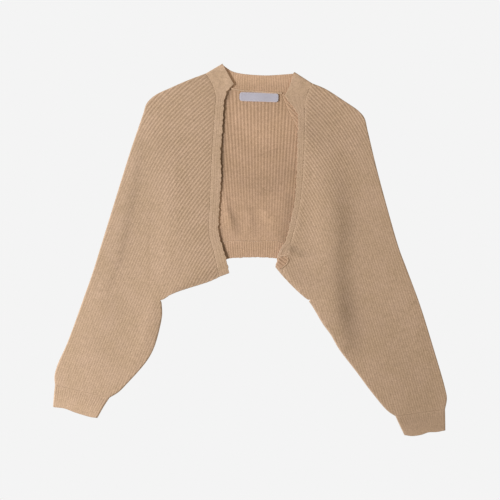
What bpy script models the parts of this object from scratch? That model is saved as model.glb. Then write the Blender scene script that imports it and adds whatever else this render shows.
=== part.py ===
"""Cropped open-front cardigan in rib knit, with dolman sleeves, laid flat with its front up.

Every cut and sewn piece is one closed solid. A piece is made of layers: a layer is a
plan outline with an upper and a lower face, and two layers of one piece meet in a round
fold. The sleeves lie double, the back panel lies single on the ground and the fronts lie
on it. Left and right are as seen from above, with the neck at the top.

Plan tables and sizes are in millimetres, the finished solids in metres with +Z up.
"""

import math
from collections.abc import Callable
from dataclasses import dataclass, field
from typing import NamedTuple

import bmesh
import bpy
import numpy as np
from mathutils import Vector, geometry

MM = 0.001

# Thickness of the cloth and the heights at which it lies
WALL = 2.2
RIB_RISE = 1.0
LAYER_GAP = 0.8
FRONT_LOW = WALL + RIB_RISE + LAYER_GAP
FRONT_HIGH = FRONT_LOW + WALL
FOLD_MIDDLE = FRONT_HIGH / 2
FOLD_ROUND = FOLD_MIDDLE
FOLD_LEG = FOLD_ROUND + 1.3
LEG_SPARE = 0.4
SEAM_GAP = 0.3
LEAST_TURN = 0.15

# How finely the outlines, ribs and soft undersides are followed
EDGE_STEP = 17.0
RIB_STEP = 36.0
RIB_MARGIN = 1.7
UNDERSIDE_STEP = 30.0
UNDERSIDE_ROWS = 0.87
TRACE_STEP = 2.0
TRACE_MARGIN = 10.0
RAIL_SAMPLES = 200
LINE_SAMPLES = 40
FOLD_ANGLES = (0.0, 34.0, 62.0, 90.0)
SHARP_DEG = 50.0

# Decimals of a millimetre to which points are told apart
POINT_DIGITS = 4
PLAN_DIGITS = 5
SAME_PLACE = 1e-6
FILL_INSIDE = 1

# Seams and folds of the left half; columns are x, y
LEFT_NECK = (-86.2, 352.2)
LEFT_NECK_LEG = (0.43, -0.90)
LEFT_CUFF_OUT = (-387.0, -270.0)
LEFT_CUFF_OUT_LEG = (0.968, -0.25)
LEFT_CUFF_IN = (-279.0, -295.6)
LEFT_CUFF_IN_LEG = (-0.968, 0.25)
LEFT_UNDERARM = (-171.8, -102.2)
LEFT_UNDERARM_LEG = (-0.60, 0.80)
LEFT_HEM_CORNER = (-173.8, -88.0)
LEFT_BAND_CORNER = (-172.0, -55.0)
LEFT_RAGLAN_TOP = (-35.0, 323.2)
LEFT_FRONT_CORNER = (-59.0, -52.4)
LEFT_BAND_TIP = (-39.6, -46.0)
LEFT_COLLAR_TIP = (-53.0, 371.8)
LEFT_COLLAR_TIP_LEG = (0.55, -0.83)

LEFT_OUTER_FOLD = (
    LEFT_NECK, (-125.0, 337.4), (-157.2, 322.8), (-187.5, 307.5), (-202.8, 290.6), (-209.4, 271.8),
    (-234.8, 199.6), (-264.5, 105.8), (-294.0, 10.0), (-311.5, -44.0), (-329.2, -97.4),
    (-360.8, -185.8), (-382.2, -231.4), (-387.6, -252.8), LEFT_CUFF_OUT,
)
LEFT_LOWER_FOLD = (
    LEFT_CUFF_IN, (-261.6, -285.0), (-242.8, -266.2), (-205.4, -223.4), (-189.4, -196.6),
    (-174.6, -148.4), (-172.0, -126.8), (-174.8, -111.0), LEFT_UNDERARM,
)
LEFT_FRONT_HEM = ((-162.6, -93.4), (-149.2, -86.8), (-95.6, -68.0), LEFT_FRONT_CORNER)
LEFT_BAND_SEAM = (
    LEFT_FRONT_CORNER, (-71.0, -1.0), (-79.6, 31.0), (-78.0, 89.0), (-75.0, 169.0),
    (-68.0, 279.0), (-66.2, 309.0), (-70.0, 323.0), (-78.0, 339.0),
)
LEFT_RAGLAN = (
    LEFT_BAND_CORNER, (-162.0, 20.0), (-145.0, 100.0), (-115.0, 190.0), (-80.0, 258.0),
    (-47.0, 307.0), LEFT_RAGLAN_TOP,
)
LEFT_BACK_NECK = (LEFT_RAGLAN_TOP, (-50.0, 327.5), (-66.0, 335.0))
LEFT_COLLAR_EDGE = ((-40.4, 350.2), (-32.8, 336.5), (-29.8, 332.0))
LEFT_FRONT_EDGE = (
    (-29.8, 332.0), (-42.0, 318.8), (-48.8, 301.4), (-51.4, 271.8), (-54.0, 229.0),
    (-56.8, 191.6), (-55.4, 151.4), (-56.8, 121.8), (-60.0, 73.0), (-60.8, 36.2),
    (-55.4, 14.8), (-45.6, -18.0), LEFT_BAND_TIP,
)
LEFT_CUFF_OUTER_SIDE = (LEFT_CUFF_OUT, (-389.5, -292.0), (-391.6, -313.8))
LEFT_CUFF_END = ((-368.8, -317.0), (-347.4, -325.0), (-315.2, -334.4))
LEFT_CUFF_INNER_SIDE = ((-303.2, -335.8), (-291.0, -314.0), LEFT_CUFF_IN)

# Seams and folds of the right half
RIGHT_NECK = (126.0, 331.5)
RIGHT_NECK_LEG = (-0.42, -0.91)
RIGHT_CUFF_OUT = (392.4, -318.6)
RIGHT_CUFF_OUT_LEG = (-0.99, -0.14)
RIGHT_CUFF_IN = (293.0, -332.6)
RIGHT_CUFF_IN_LEG = (0.99, 0.14)
RIGHT_UNDERARM = (120.0, -100.5)
RIGHT_UNDERARM_LEG = (0.66, 0.75)
RIGHT_HEM_CORNER = (125.0, -86.0)
RIGHT_BAND_CORNER = (128.0, -53.0)
RIGHT_RAGLAN_TOP = (65.0, 313.9)
RIGHT_FRONT_CORNER = (66.6, -48.4)
RIGHT_BAND_TIP = (53.2, -31.2)
RIGHT_COLLAR_TIP = (93.0, 354.6)
RIGHT_COLLAR_TIP_LEG = (-0.62, -0.78)

RIGHT_OUTER_FOLD = (
    RIGHT_NECK, (151.0, 321.6), (187.8, 300.4), (221.6, 278.0), (231.4, 264.0), (237.0, 241.4),
    (253.6, 171.4), (276.0, 87.2), (300.4, 3.0), (314.3, -34.2), (342.6, -110.6),
    (368.0, -192.2), (391.8, -273.8), (396.2, -296.8), RIGHT_CUFF_OUT,
)
RIGHT_LOWER_FOLD = (
    RIGHT_CUFF_IN, (277.6, -322.4), (247.0, -286.6), (216.4, -243.2), (180.8, -197.4),
    (165.4, -169.4), (150.2, -149.0), (128.0, -113.0), RIGHT_UNDERARM,
)
RIGHT_FRONT_HEM = ((105.0, -89.6), (83.8, -67.6), RIGHT_FRONT_CORNER)
RIGHT_BAND_SEAM = (
    RIGHT_FRONT_CORNER, (71.5, -26.0), (80.0, 5.0), (88.0, 31.0), (97.0, 69.0), (105.0, 119.0),
    (110.6, 207.0), (112.6, 293.0), (115.4, 308.2),
)
RIGHT_RAGLAN = (
    RIGHT_BAND_CORNER, (131.0, 0.0), (130.0, 100.0), (118.0, 200.0), (97.0, 265.0), RIGHT_RAGLAN_TOP,
)
RIGHT_BACK_NECK = (RIGHT_RAGLAN_TOP, (90.0, 317.5), (110.0, 323.5))
RIGHT_COLLAR_EDGE = ((82.0, 330.0), (74.4, 314.0), (71.6, 308.2))
RIGHT_FRONT_EDGE = (
    (71.6, 308.2), (84.0, 291.0), (95.4, 274.8), (98.2, 262.0), (97.2, 226.0), (95.4, 149.4),
    (91.0, 92.8), (84.0, 61.8), (72.8, 17.0), (61.6, 0.2), (57.0, -14.0), RIGHT_BAND_TIP,
)
RIGHT_CUFF_OUTER_SIDE = (RIGHT_CUFF_OUT, (392.8, -340.0), (393.0, -360.6))
RIGHT_CUFF_END = ((374.6, -364.0), (359.2, -364.6), (344.0, -369.6), (326.0, -372.0))
RIGHT_CUFF_INNER_SIDE = ((310.8, -370.2), (302.0, -352.0), RIGHT_CUFF_IN)

# Back panel, its hem band and the back of the collar
BACK_NECK_SEAM = (LEFT_RAGLAN_TOP, (-17.6, 319.6), (17.0, 316.8), (45.0, 315.0), RIGHT_RAGLAN_TOP)
COLLAR_TOP_EDGE = ((-34.8, 359.0), (-17.6, 352.2), (7.4, 349.4), (36.0, 348.8), (64.8, 350.2))
BACK_HEM = (
    LEFT_HEM_CORNER, (-140.0, -72.0), (-95.0, -41.0), (-45.0, -16.4), (17.0, -14.6),
    (57.0, -14.0), (82.0, -44.0), (103.0, -70.0), RIGHT_HEM_CORNER,
)
HEM_BAND_SEAM = (
    LEFT_BAND_CORNER, (-140.0, -40.0), (-95.0, -9.0), (-45.0, 16.6), (17.0, 17.6),
    (62.0, 17.0), (90.0, -8.0), (110.0, -34.0), RIGHT_BAND_CORNER,
)

# Middle of the plan, which becomes the origin
PLAN_CENTRE = (
    (LEFT_CUFF_OUTER_SIDE[-1][0] + RIGHT_OUTER_FOLD[-2][0]) / 2,
    (LEFT_COLLAR_TIP[1] + RIGHT_CUFF_END[-1][1]) / 2,
)

# Label under the back neck seam
LABEL_SIZE = (78.0, 18.0, 0.9)
LABEL_CENTRE = (20.0, 304.2)
LABEL_TILT = -2.0
LABEL_CORNER = 4.0
LABEL_CORNER_STEPS = 4
LABEL_CLEARANCE = 0.3


class RibFamily(NamedTuple):
    """One bundle of parallel ribs on a front and sleeve."""

    slope_deg: float    # angle of the ribs with the x axis
    pitch: float        # distance from rib to rib
    joins_x: float      # a point where this family runs on from the one before it
    joins_y: float


LEFT_RIBS = (
    RibFamily(54.5, 5.85, -180.0, 100.0),
    RibFamily(41.0, 5.70, -100.0, 250.0),
    RibFamily(27.0, 5.70, -150.0, 290.0),
    RibFamily(67.5, 4.25, -185.0, 60.0),
    RibFamily(71.0, 4.70, -300.0, -60.0),
)
RIGHT_RIBS = (
    RibFamily(60.0, 5.70, -130.0, 100.0),
    RibFamily(45.0, 5.60, -130.0, 215.0),
    RibFamily(31.0, 5.60, -165.0, 280.0),
    RibFamily(66.0, 5.60, -150.0, 0.0),
    RibFamily(74.0, 4.80, -215.0, 60.0),
)
RIB_BLEND = 1.4


class Swell(NamedTuple):
    """A soft ridge, or a trough where its height is negative, along a straight line."""

    x1: float
    y1: float
    x2: float
    y2: float
    spread: float
    height: float


LOFT = 0.9
LOFT_LEAST = -3.3
LOFT_MOST = 1.8
SWELLS = (
    Swell(-110.0, -68.0, -45.0, -42.0, 11.0, -3.9),
    Swell(54.0, -36.0, 94.0, -80.0, 6.0, -2.4),
    Swell(-57.0, 300.0, -58.0, -20.0, 16.0, 0.8),
    Swell(-207.0, 139.0, -203.0, -81.0, 20.0, 0.8),
    Swell(-261.0, 40.0, -273.0, -25.0, 14.0, -0.9),
    Swell(-326.0, -97.0, -317.0, -161.0, 13.0, -0.8),
    Swell(-300.0, -200.0, -262.0, -120.0, 20.0, 0.5),
    Swell(183.0, 119.0, 187.0, 19.0, 17.0, -0.9),
    Swell(187.0, 19.0, 215.0, -161.0, 17.0, -0.9),
    Swell(270.0, -30.0, 330.0, -200.0, 26.0, 0.6),
    Swell(88.0, -8.0, 138.0, -10.0, 9.0, -0.9),
    Swell(112.0, 140.0, 128.0, 30.0, 24.0, 0.6),
)

# Fan of the back panel's ribs, which spread towards the neck
FAN_CENTRE = (27.0, -473.0)
FAN_STEP_DEG = 0.525
HEM_FAN_STEP_DEG = 0.45

BAND_RIBS = 4
COLLAR_RIBS = 36
CUFF_RIBS = 18

CAMEL = (0.49, 0.335, 0.215)
CAMEL_SHADE = (0.44, 0.295, 0.185)
LABEL_GREY = (0.46, 0.43, 0.47)
CLOTH_ROUGHNESS = 0.95

Plan = np.ndarray
Height = Callable[[np.ndarray, np.ndarray], np.ndarray]


def lay_flat(x: np.ndarray, y: np.ndarray) -> np.ndarray:
    """Height of the ground everywhere."""
    return np.zeros_like(x)


def loft(x: np.ndarray, y: np.ndarray) -> np.ndarray:
    """How far the upper layer's underside lies above FRONT_LOW, with its soft waves."""
    height = np.full_like(x, LOFT)
    points = np.column_stack([x, y])
    for swell in SWELLS:
        line = np.array([(swell.x1, swell.y1), (swell.x2, swell.y2)])
        away = distance_to_line(points, line)
        height += swell.height * np.exp(-(away / swell.spread) ** 2)
    return np.clip(height, LOFT_LEAST, LOFT_MOST)


def ground_top(x: np.ndarray, y: np.ndarray) -> np.ndarray:
    """Upper face of a layer that lies on the ground."""
    return lay_flat(x, y) + WALL


def front_underside(x: np.ndarray, y: np.ndarray) -> np.ndarray:
    """Lower face of a layer that lies on top of another."""
    return FRONT_LOW + loft(x, y)


def front_top(x: np.ndarray, y: np.ndarray) -> np.ndarray:
    """Upper face of a layer that lies on top of another."""
    return FRONT_HIGH + loft(x, y)


def distance_to_line(points: Plan, line: Plan) -> np.ndarray:
    """Shortest distance in plan from each point to a polyline."""
    starts, spans = line[:-1], np.diff(line, axis=0)
    reach = points[:, None, :] - starts[None, :, :]
    along = np.einsum("psk,sk->ps", reach, spans) / np.einsum("sk,sk->s", spans, spans)
    foot = reach - np.clip(along, 0.0, 1.0)[:, :, None] * spans[None, :, :]
    return np.sqrt(np.einsum("psk,psk->ps", foot, foot).min(axis=1))


def inside(points: Plan, ring: Plan) -> np.ndarray:
    """Whether each point lies inside a closed ring."""
    x, y = points[:, 0:1], points[:, 1:2]
    start, end = ring, np.roll(ring, -1, axis=0)
    crosses = (start[:, 1] > y) != (end[:, 1] > y)
    rise = np.where(end[:, 1] == start[:, 1], 1.0, end[:, 1] - start[:, 1])
    at = start[:, 0] + (y - start[:, 1]) / rise * (end[:, 0] - start[:, 0])
    return (crosses & (x < at)).sum(axis=1) % 2 == 1


def smooth_curve(knots: list, spacing: float) -> Plan:
    """Points at about the given spacing on a smooth curve through the knots."""
    knots = np.asarray(knots, dtype=float)
    padded = np.vstack([2 * knots[0] - knots[1], knots, 2 * knots[-1] - knots[-2]])
    points = [knots[0]]
    for before, start, end, after in zip(padded, padded[1:], padded[2:], padded[3:]):
        back, here, ahead = (np.linalg.norm(b - a) ** 0.5
                             for a, b in ((before, start), (start, end), (end, after)))
        leave = here * ((start - before) / back - (end - before) / (back + here)) + (end - start)
        arrive = here * ((after - end) / ahead - (after - start) / (here + ahead)) + (end - start)
        count = max(1, round(float(np.linalg.norm(end - start)) / spacing))
        for step in range(1, count + 1):
            t = step / count
            points.append((2 * t ** 3 - 3 * t ** 2 + 1) * start + (t ** 3 - 2 * t ** 2 + t) * leave
                          + (3 * t ** 2 - 2 * t ** 3) * end + (t ** 3 - t ** 2) * arrive)
    return np.array(points)


def resample(line: Plan, count: int) -> Plan:
    """The line with count points at equal distances."""
    lengths = np.concatenate([[0.0], np.cumsum(np.linalg.norm(np.diff(line, axis=0), axis=1))])
    places = np.linspace(0.0, lengths[-1], count)
    return np.column_stack([np.interp(places, lengths, line[:, k]) for k in range(2)])


def leg(corner: tuple, direction: tuple) -> Plan:
    """The straight start of a free edge, from the end of a fold across its round."""
    corner, way = np.array(corner), unit(np.array(direction))
    return np.vstack([corner, corner + way * (FOLD_ROUND + LEG_SPARE), corner + way * FOLD_LEG])


def unit(vector: np.ndarray) -> np.ndarray:
    """The vector at length one."""
    return vector / np.linalg.norm(vector)


def joined(*lines: Plan) -> Plan:
    """Lines laid end to end, without the doubled points."""
    points = [lines[0]]
    for line in lines[1:]:
        starts_at_end = np.allclose(line[0], points[-1][-1], atol=SAME_PLACE)
        points.append(line[1:] if starts_at_end else line)
    return np.vstack(points)


@dataclass
class Edge:
    """One stretch of a layer's outline.

    points run from corner to corner. A fold joins two layers of the same piece, a seam
    lies half a gap from the next piece, and any other edge is where the cloth ends.
    """

    points: Plan
    fold: bool = False
    seam: bool = False


@dataclass
class Layer:
    """One thickness of cloth in plan, with the heights of its two faces.

    on_top says that the layer is the upper one of those that its folds join. crests and
    valleys are rib lines in plan that the upper face follows.
    """

    edges: list
    lower: Height
    upper: Height
    on_top: bool = False
    crests: list = field(default_factory=list)
    valleys: list = field(default_factory=list)
    soft_underside: bool = False

    def ring(self) -> Plan:
        """The closed outline, before the seams are drawn in."""
        return np.vstack([edge.points[:-1] for edge in self.edges])


def drawn_in(layer: Layer) -> list:
    """Points of each edge, with seam edges moved half a seam gap into the cloth."""
    ring = layer.ring()
    spans = np.roll(ring, -1, axis=0) - ring
    area = np.sum(ring[:, 0] * np.roll(ring[:, 1], -1) - np.roll(ring[:, 0], -1) * ring[:, 1])
    normals = np.column_stack([-spans[:, 1], spans[:, 0]]) * math.copysign(1.0, area)
    normals /= np.linalg.norm(normals, axis=1)[:, None]
    depth = np.concatenate([[SEAM_GAP / 2 if edge.seam else 0.0] * (len(edge.points) - 1)
                            for edge in layer.edges])
    moved = ring.copy()
    for i in range(len(ring)):
        pair = np.array([normals[i - 1], normals[i]])
        if abs(np.linalg.det(pair)) > LEAST_TURN:
            moved[i] += np.linalg.solve(pair, np.array([depth[i - 1], depth[i]]))
        else:
            moved[i] += unit(pair.sum(axis=0)) * max(depth[i - 1], depth[i])
    result, start = [], 0
    for edge in layer.edges:
        stop = start + len(edge.points) - 1
        result.append(np.vstack([moved[start:stop], moved[stop % len(ring)]]))
        start = stop
    return result


def fold_steps(convex: bool) -> list:
    """Distances in from the fold line at which the round of a fold is followed."""
    start = 0.0 if convex else WALL
    radius = FOLD_ROUND - start
    return [start + radius * (1.0 - math.cos(math.radians(angle))) for angle in FOLD_ANGLES]


def inward_vectors(points: Plan, first: np.ndarray, last: np.ndarray, turn: float) -> Plan:
    """Unit vectors from a fold line into the cloth, along the free edges at its ends."""
    spans = np.diff(points, axis=0)
    normals = np.column_stack([-spans[:, 1], spans[:, 0]]) * turn
    normals /= np.linalg.norm(normals, axis=1)[:, None]
    middle = normals[:-1] + normals[1:]
    middle /= np.linalg.norm(middle, axis=1)[:, None]
    return np.vstack([first, middle, last])


@dataclass
class FacePlan:
    """Plan lines of one face of a layer, ready to be filled with triangles."""

    outline: list
    rings: list
    fold_lines: list
    fold_radius: float
    rims: list


def plan_face(layer: Layer, convex: bool) -> FacePlan:
    """Outline, fold rings and rims of a layer's face, round outwards where convex."""
    lines = drawn_in(layer)
    ring = np.vstack([line[:-1] for line in lines])
    area = np.sum(ring[:, 0] * np.roll(ring[:, 1], -1) - np.roll(ring[:, 0], -1) * ring[:, 1])
    steps = fold_steps(convex)
    face = FacePlan([], [], [], FOLD_ROUND - steps[0], [])
    count = len(lines)
    for i, edge in enumerate(layer.edges):
        points, before, after = lines[i], lines[i - 1], lines[(i + 1) % count]
        if edge.fold:
            inward = inward_vectors(points, unit(before[-2] - before[-1]), unit(after[1] - after[0]),
                                    math.copysign(1.0, area))
            moved = [points + inward * step for step in steps]
            face.outline.append(moved[0])
            face.rings.extend(moved[1:])
            face.fold_lines.append(moved[0])
            continue
        rim = list(points)
        if layer.edges[i - 1].fold:
            way = unit(points[1] - points[0])
            rim[0:1] = [points[0] + way * step for step in steps]
        if layer.edges[(i + 1) % count].fold:
            way = unit(points[-2] - points[-1])
            rim[-1:] = [points[-1] + way * step for step in reversed(steps)]
        face.outline.append(np.array(rim))
        face.rims.append(np.array(rim))
    return face


def face_height(points: Plan, base: np.ndarray, face: FacePlan) -> np.ndarray:
    """Heights of plan points on a face, drawn down or up to the folds' middle height."""
    height = base
    for line in face.fold_lines:
        near = np.minimum(distance_to_line(points, line) / face.fold_radius, 1.0)
        height = FOLD_MIDDLE + (height - FOLD_MIDDLE) * np.sqrt(1.0 - (1.0 - near) ** 2)
    return height


def clip_lines(lines: list, ring: Plan, margin: float, step: float) -> list:
    """The stretches of the lines that lie inside the ring and clear of it, thinned out."""
    closed = np.vstack([ring, ring[:1]])
    kept = []
    for line in lines:
        held = inside(line, ring) & (distance_to_line(line, closed) > margin)
        for run in np.split(np.arange(len(line)), np.flatnonzero(np.diff(held.astype(int))) + 1):
            if held[run[0]] and len(run) > 2:
                stretch = line[run]
                length = np.linalg.norm(np.diff(stretch, axis=0), axis=1).sum()
                kept.append(resample(stretch, max(2, math.ceil(length / step) + 1)))
    return kept


def level_lines(phase: Height, ring: Plan, offset: float) -> list:
    """Lines on which the phase equals a whole number plus the offset."""
    (low_x, low_y), (high_x, high_y) = ring.min(axis=0), ring.max(axis=0)
    xs = np.arange(low_x - TRACE_MARGIN, high_x + TRACE_MARGIN, TRACE_STEP)
    rows = np.arange(low_y, high_y, TRACE_STEP)
    corners = phase(np.array([low_x, low_x, high_x, high_x]), np.array([low_y, high_y, low_y, high_y]))
    levels = np.arange(math.floor(corners.min()), math.ceil(corners.max()) + 1) + offset
    found = np.full((len(levels), len(rows)), np.nan)
    for k, y in enumerate(rows):
        values = phase(xs, np.full_like(xs, y))
        order = 1 if values[-1] > values[0] else -1
        found[:, k] = np.interp(levels, values[::order], xs[::order], left=np.nan, right=np.nan)
    lines = []
    for row in found:
        held = ~np.isnan(row)
        if held.sum() > 2:
            lines.append(np.column_stack([row[held], rows[held]]))
    return lines


def ruled_lines(first: Plan, second: Plan, count: int, across: bool) -> tuple:
    """Crest and valley lines between two rails, from rail to rail or along them."""
    rail_a, rail_b = resample(first, RAIL_SAMPLES), resample(second, RAIL_SAMPLES)
    crests, valleys = [], []
    for k in range(1, 2 * count):
        share = k / (2 * count)
        if across:
            at = share * (RAIL_SAMPLES - 1)
            ends = [np.array([np.interp(at, np.arange(RAIL_SAMPLES), rail[:, c]) for c in range(2)])
                    for rail in (rail_a, rail_b)]
            line = resample(np.array(ends), LINE_SAMPLES)
        else:
            line = rail_a * (1.0 - share) + rail_b * share
        (crests if k % 2 else valleys).append(line)
    return crests, valleys


def front_phase(families: tuple, mirror: float) -> Height:
    """Rib count of a front and sleeve: each family runs on smoothly into the next.

    The phase is the soft least of the families' own phases, so the ribs bend where two of
    them are equal. mirror is -1 where the table is written for the other half.
    """
    slopes, sizes = [], []
    for family in families:
        angle = math.radians(family.slope_deg)
        slopes.append((math.sin(angle) / family.pitch, -math.cos(angle) / family.pitch))
    start = families[0]
    sizes.append(-(slopes[0][0] * start.joins_x + slopes[0][1] * start.joins_y))
    for number, family in enumerate(families[1:], start=1):
        x, y = family.joins_x, family.joins_y
        least = min(slopes[k][0] * x + slopes[k][1] * y + sizes[k] for k in range(number))
        sizes.append(least - slopes[number][0] * x - slopes[number][1] * y)

    def phase(x: np.ndarray, y: np.ndarray) -> np.ndarray:
        values = np.array([a * x * mirror + b * y + c for (a, b), c in zip(slopes, sizes)])
        least = values.min(axis=0)
        return least - RIB_BLEND * np.log(np.exp(-(values - least) / RIB_BLEND).sum(axis=0))

    return phase


def fan_phase(step_deg: float) -> Height:
    """Rib count of the back, whose ribs spread from a point below the hem."""
    def phase(x: np.ndarray, y: np.ndarray) -> np.ndarray:
        return np.degrees(np.arctan2(x - FAN_CENTRE[0], y - FAN_CENTRE[1])) / step_deg
    return phase


class Solid:
    """Gathers the faces of one piece and makes the mesh object."""

    def __init__(self) -> None:
        self.points = {}
        self.faces = []

    def index(self, point: tuple) -> int:
        """Number of a point, shared by all faces that meet there."""
        key = tuple(round(float(value), POINT_DIGITS) for value in point)
        return self.points.setdefault(key, len(self.points))

    def add_face(self, corners: list) -> None:
        """Adds a face unless its corners fall together."""
        numbers = []
        for corner in corners:
            number = self.index(corner)
            if number not in numbers:
                numbers.append(number)
        if len(numbers) > 2:
            self.faces.append(numbers)

    def add_layer(self, layer: Layer) -> None:
        """Adds both faces of a layer and the rims between them."""
        faces = {}
        for top in (False, True):
            face = plan_face(layer, convex=(top == layer.on_top))
            faces[top] = face
            self.fill_face(layer, face, top)
        for low_rim, high_rim in zip(faces[False].rims, faces[True].rims):
            low = self.lift(low_rim, layer.lower, faces[False])
            high = self.lift(high_rim, layer.upper, faces[True])
            for k in range(len(low) - 1):
                self.add_face([low[k], low[k + 1], high[k + 1], high[k]])

    def lift(self, points: Plan, base: Height, face: FacePlan) -> list:
        """Plan points raised to a face's height."""
        height = face_height(points, base(points[:, 0], points[:, 1]), face)
        return list(np.column_stack([points, height]))

    def fill_face(self, layer: Layer, face: FacePlan, top: bool) -> None:
        """Fills a face with triangles along its fold rings and rib lines."""
        plan, exact, rise, edges, known = [], [], [], [], {}

        def add_line(line: Plan, raised: float) -> None:
            numbers = []
            for point in line:
                key = tuple(round(float(value), PLAN_DIGITS) for value in point)
                if key not in known:
                    known[key] = len(plan)
                    plan.append(Vector((float(point[0]), float(point[1]))))
                    exact.append((float(point[0]), float(point[1])))
                    rise.append(raised)
                numbers.append(known[key])
            edges.extend((a, b) for a, b in zip(numbers, numbers[1:]) if a != b)

        for line in face.outline + face.rings:
            add_line(line, 0.0)
        ring = np.vstack([line[:-1] for line in face.outline])
        clear = RIB_MARGIN + (face.fold_radius if face.fold_lines else 0.0)
        if top:
            for lines, raised in ((layer.crests, RIB_RISE), (layer.valleys, 0.0)):
                for line in self.clear_of_folds(clip_lines(lines, ring, RIB_MARGIN, RIB_STEP), face, clear):
                    add_line(line, raised)
        elif layer.soft_underside:
            for point in self.grid(ring, face, clear):
                add_line(point[None, :], 0.0)
        found, _, triangles, origins, _, _ = geometry.delaunay_2d_cdt(plan, edges, [], FILL_INSIDE,
                                                                      SAME_PLACE)
        corners = np.array([exact[origin[0]] if origin else tuple(corner)
                            for corner, origin in zip(found, origins)])
        base = (layer.upper if top else layer.lower)(corners[:, 0], corners[:, 1])
        height = face_height(corners, base, face)
        height += np.array([max((rise[k] for k in origin), default=0.0) for origin in origins])
        lifted = np.column_stack([corners, height])
        for triangle in triangles:
            self.add_face([lifted[k] for k in (triangle if top else reversed(triangle))])

    def clear_of_folds(self, lines: list, face: FacePlan, clear: float) -> list:
        """Rib lines cut off where the cloth starts to turn down into a fold."""
        if not face.fold_lines:
            return lines
        kept = []
        for line in lines:
            fine = resample(line, max(3, round(np.linalg.norm(np.diff(line, axis=0), axis=1).sum())))
            away = np.min([distance_to_line(fine, fold) for fold in face.fold_lines], axis=0)
            held = away > clear
            for run in np.split(np.arange(len(fine)), np.flatnonzero(np.diff(held.astype(int))) + 1):
                if held[run[0]] and len(run) > 2:
                    stretch = fine[run]
                    length = np.linalg.norm(np.diff(stretch, axis=0), axis=1).sum()
                    kept.append(resample(stretch, max(2, math.ceil(length / RIB_STEP) + 1)))
        return kept

    def grid(self, ring: Plan, face: FacePlan, clear: float) -> Plan:
        """Points all over an underside, so that it follows the waves of the upper face."""
        (low_x, low_y), (high_x, high_y) = ring.min(axis=0), ring.max(axis=0)
        xs, ys = np.meshgrid(np.arange(low_x, high_x, UNDERSIDE_STEP),
                             np.arange(low_y, high_y, UNDERSIDE_STEP * UNDERSIDE_ROWS))
        xs[1::2] += UNDERSIDE_STEP / 2
        points = np.column_stack([xs.ravel(), ys.ravel()])
        closed = np.vstack([ring, ring[:1]])
        return points[inside(points, ring) & (distance_to_line(points, closed) > 2 * clear)]

    def make(self, name: str, colour: tuple, collection: bpy.types.Collection) -> bpy.types.Object:
        """The finished object with its own material."""
        mesh = bpy.data.meshes.new(name)
        origin = (*PLAN_CENTRE, 0.0)
        corners = [tuple((c - o) * MM for c, o in zip(point, origin)) for point in self.points]
        mesh.from_pydata(corners, [], self.faces)
        work = bmesh.new()
        work.from_mesh(mesh)
        bmesh.ops.recalc_face_normals(work, faces=work.faces)
        work.to_mesh(mesh)
        work.free()
        mesh.shade_smooth()
        mesh.set_sharp_from_angle(angle=math.radians(SHARP_DEG))
        mesh.materials.append(knit_material(name, colour))
        item = bpy.data.objects.new(name, mesh)
        collection.objects.link(item)
        return item


def knit_material(name: str, colour: tuple) -> bpy.types.Material:
    """A soft matt cloth material."""
    material = bpy.data.materials.new(name)
    material.use_nodes = True
    shader = material.node_tree.nodes["Principled BSDF"]
    shader.inputs["Base Color"].default_value = (*colour, 1.0)
    shader.inputs["Roughness"].default_value = CLOTH_ROUGHNESS
    shader.inputs["Metallic"].default_value = 0.0
    return material


@dataclass
class Half:
    """Outline tables of one side of the garment."""

    neck: tuple
    neck_leg: tuple
    cuff_out: tuple
    cuff_out_leg: tuple
    cuff_in: tuple
    cuff_in_leg: tuple
    underarm: tuple
    underarm_leg: tuple
    collar_tip: tuple
    collar_tip_leg: tuple
    hem_corner: tuple
    band_tip: tuple
    front_corner: tuple
    outer_fold: tuple
    lower_fold: tuple
    front_hem: tuple
    band_seam: tuple
    raglan: tuple
    back_neck: tuple
    collar_edge: tuple
    front_edge: tuple
    cuff_outer_side: tuple
    cuff_end: tuple
    cuff_inner_side: tuple
    ribs: tuple
    mirror: float

    def cuff_seam(self) -> Plan:
        """Seam between sleeve and cuff, from the outer fold to the lower one."""
        start, end = leg(self.cuff_out, self.cuff_out_leg), leg(self.cuff_in, self.cuff_in_leg)
        return joined(start, smooth_curve([start[-1], end[-1]], EDGE_STEP), end[::-1])

    def seam_to_band(self) -> Plan:
        """Seam between front and band, from the hem up to the neck."""
        top = leg(self.neck, self.neck_leg)
        return joined(smooth_curve([*self.band_seam, top[-1]], EDGE_STEP), top[::-1])

    def hem_line(self) -> Plan:
        """The front's hem, from the underarm to the band."""
        start = leg(self.underarm, self.underarm_leg)
        return joined(start, smooth_curve([start[-1], *self.front_hem], EDGE_STEP))

    def raglan_seam(self) -> Plan:
        """Seam between the sleeve's back layer and the back, from the underarm up."""
        start = leg(self.underarm, self.underarm_leg)[-1]
        low = smooth_curve([start, self.hem_corner, self.raglan[0]], EDGE_STEP)
        return joined(low, smooth_curve(self.raglan, EDGE_STEP))

    def neck_seam_part(self) -> Plan:
        """Seam between the sleeve's back layer and the collar, from the raglan outwards."""
        end = leg(self.neck, self.neck_leg)
        return joined(smooth_curve([*self.back_neck, end[-1]], EDGE_STEP), end[::-1])


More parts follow.
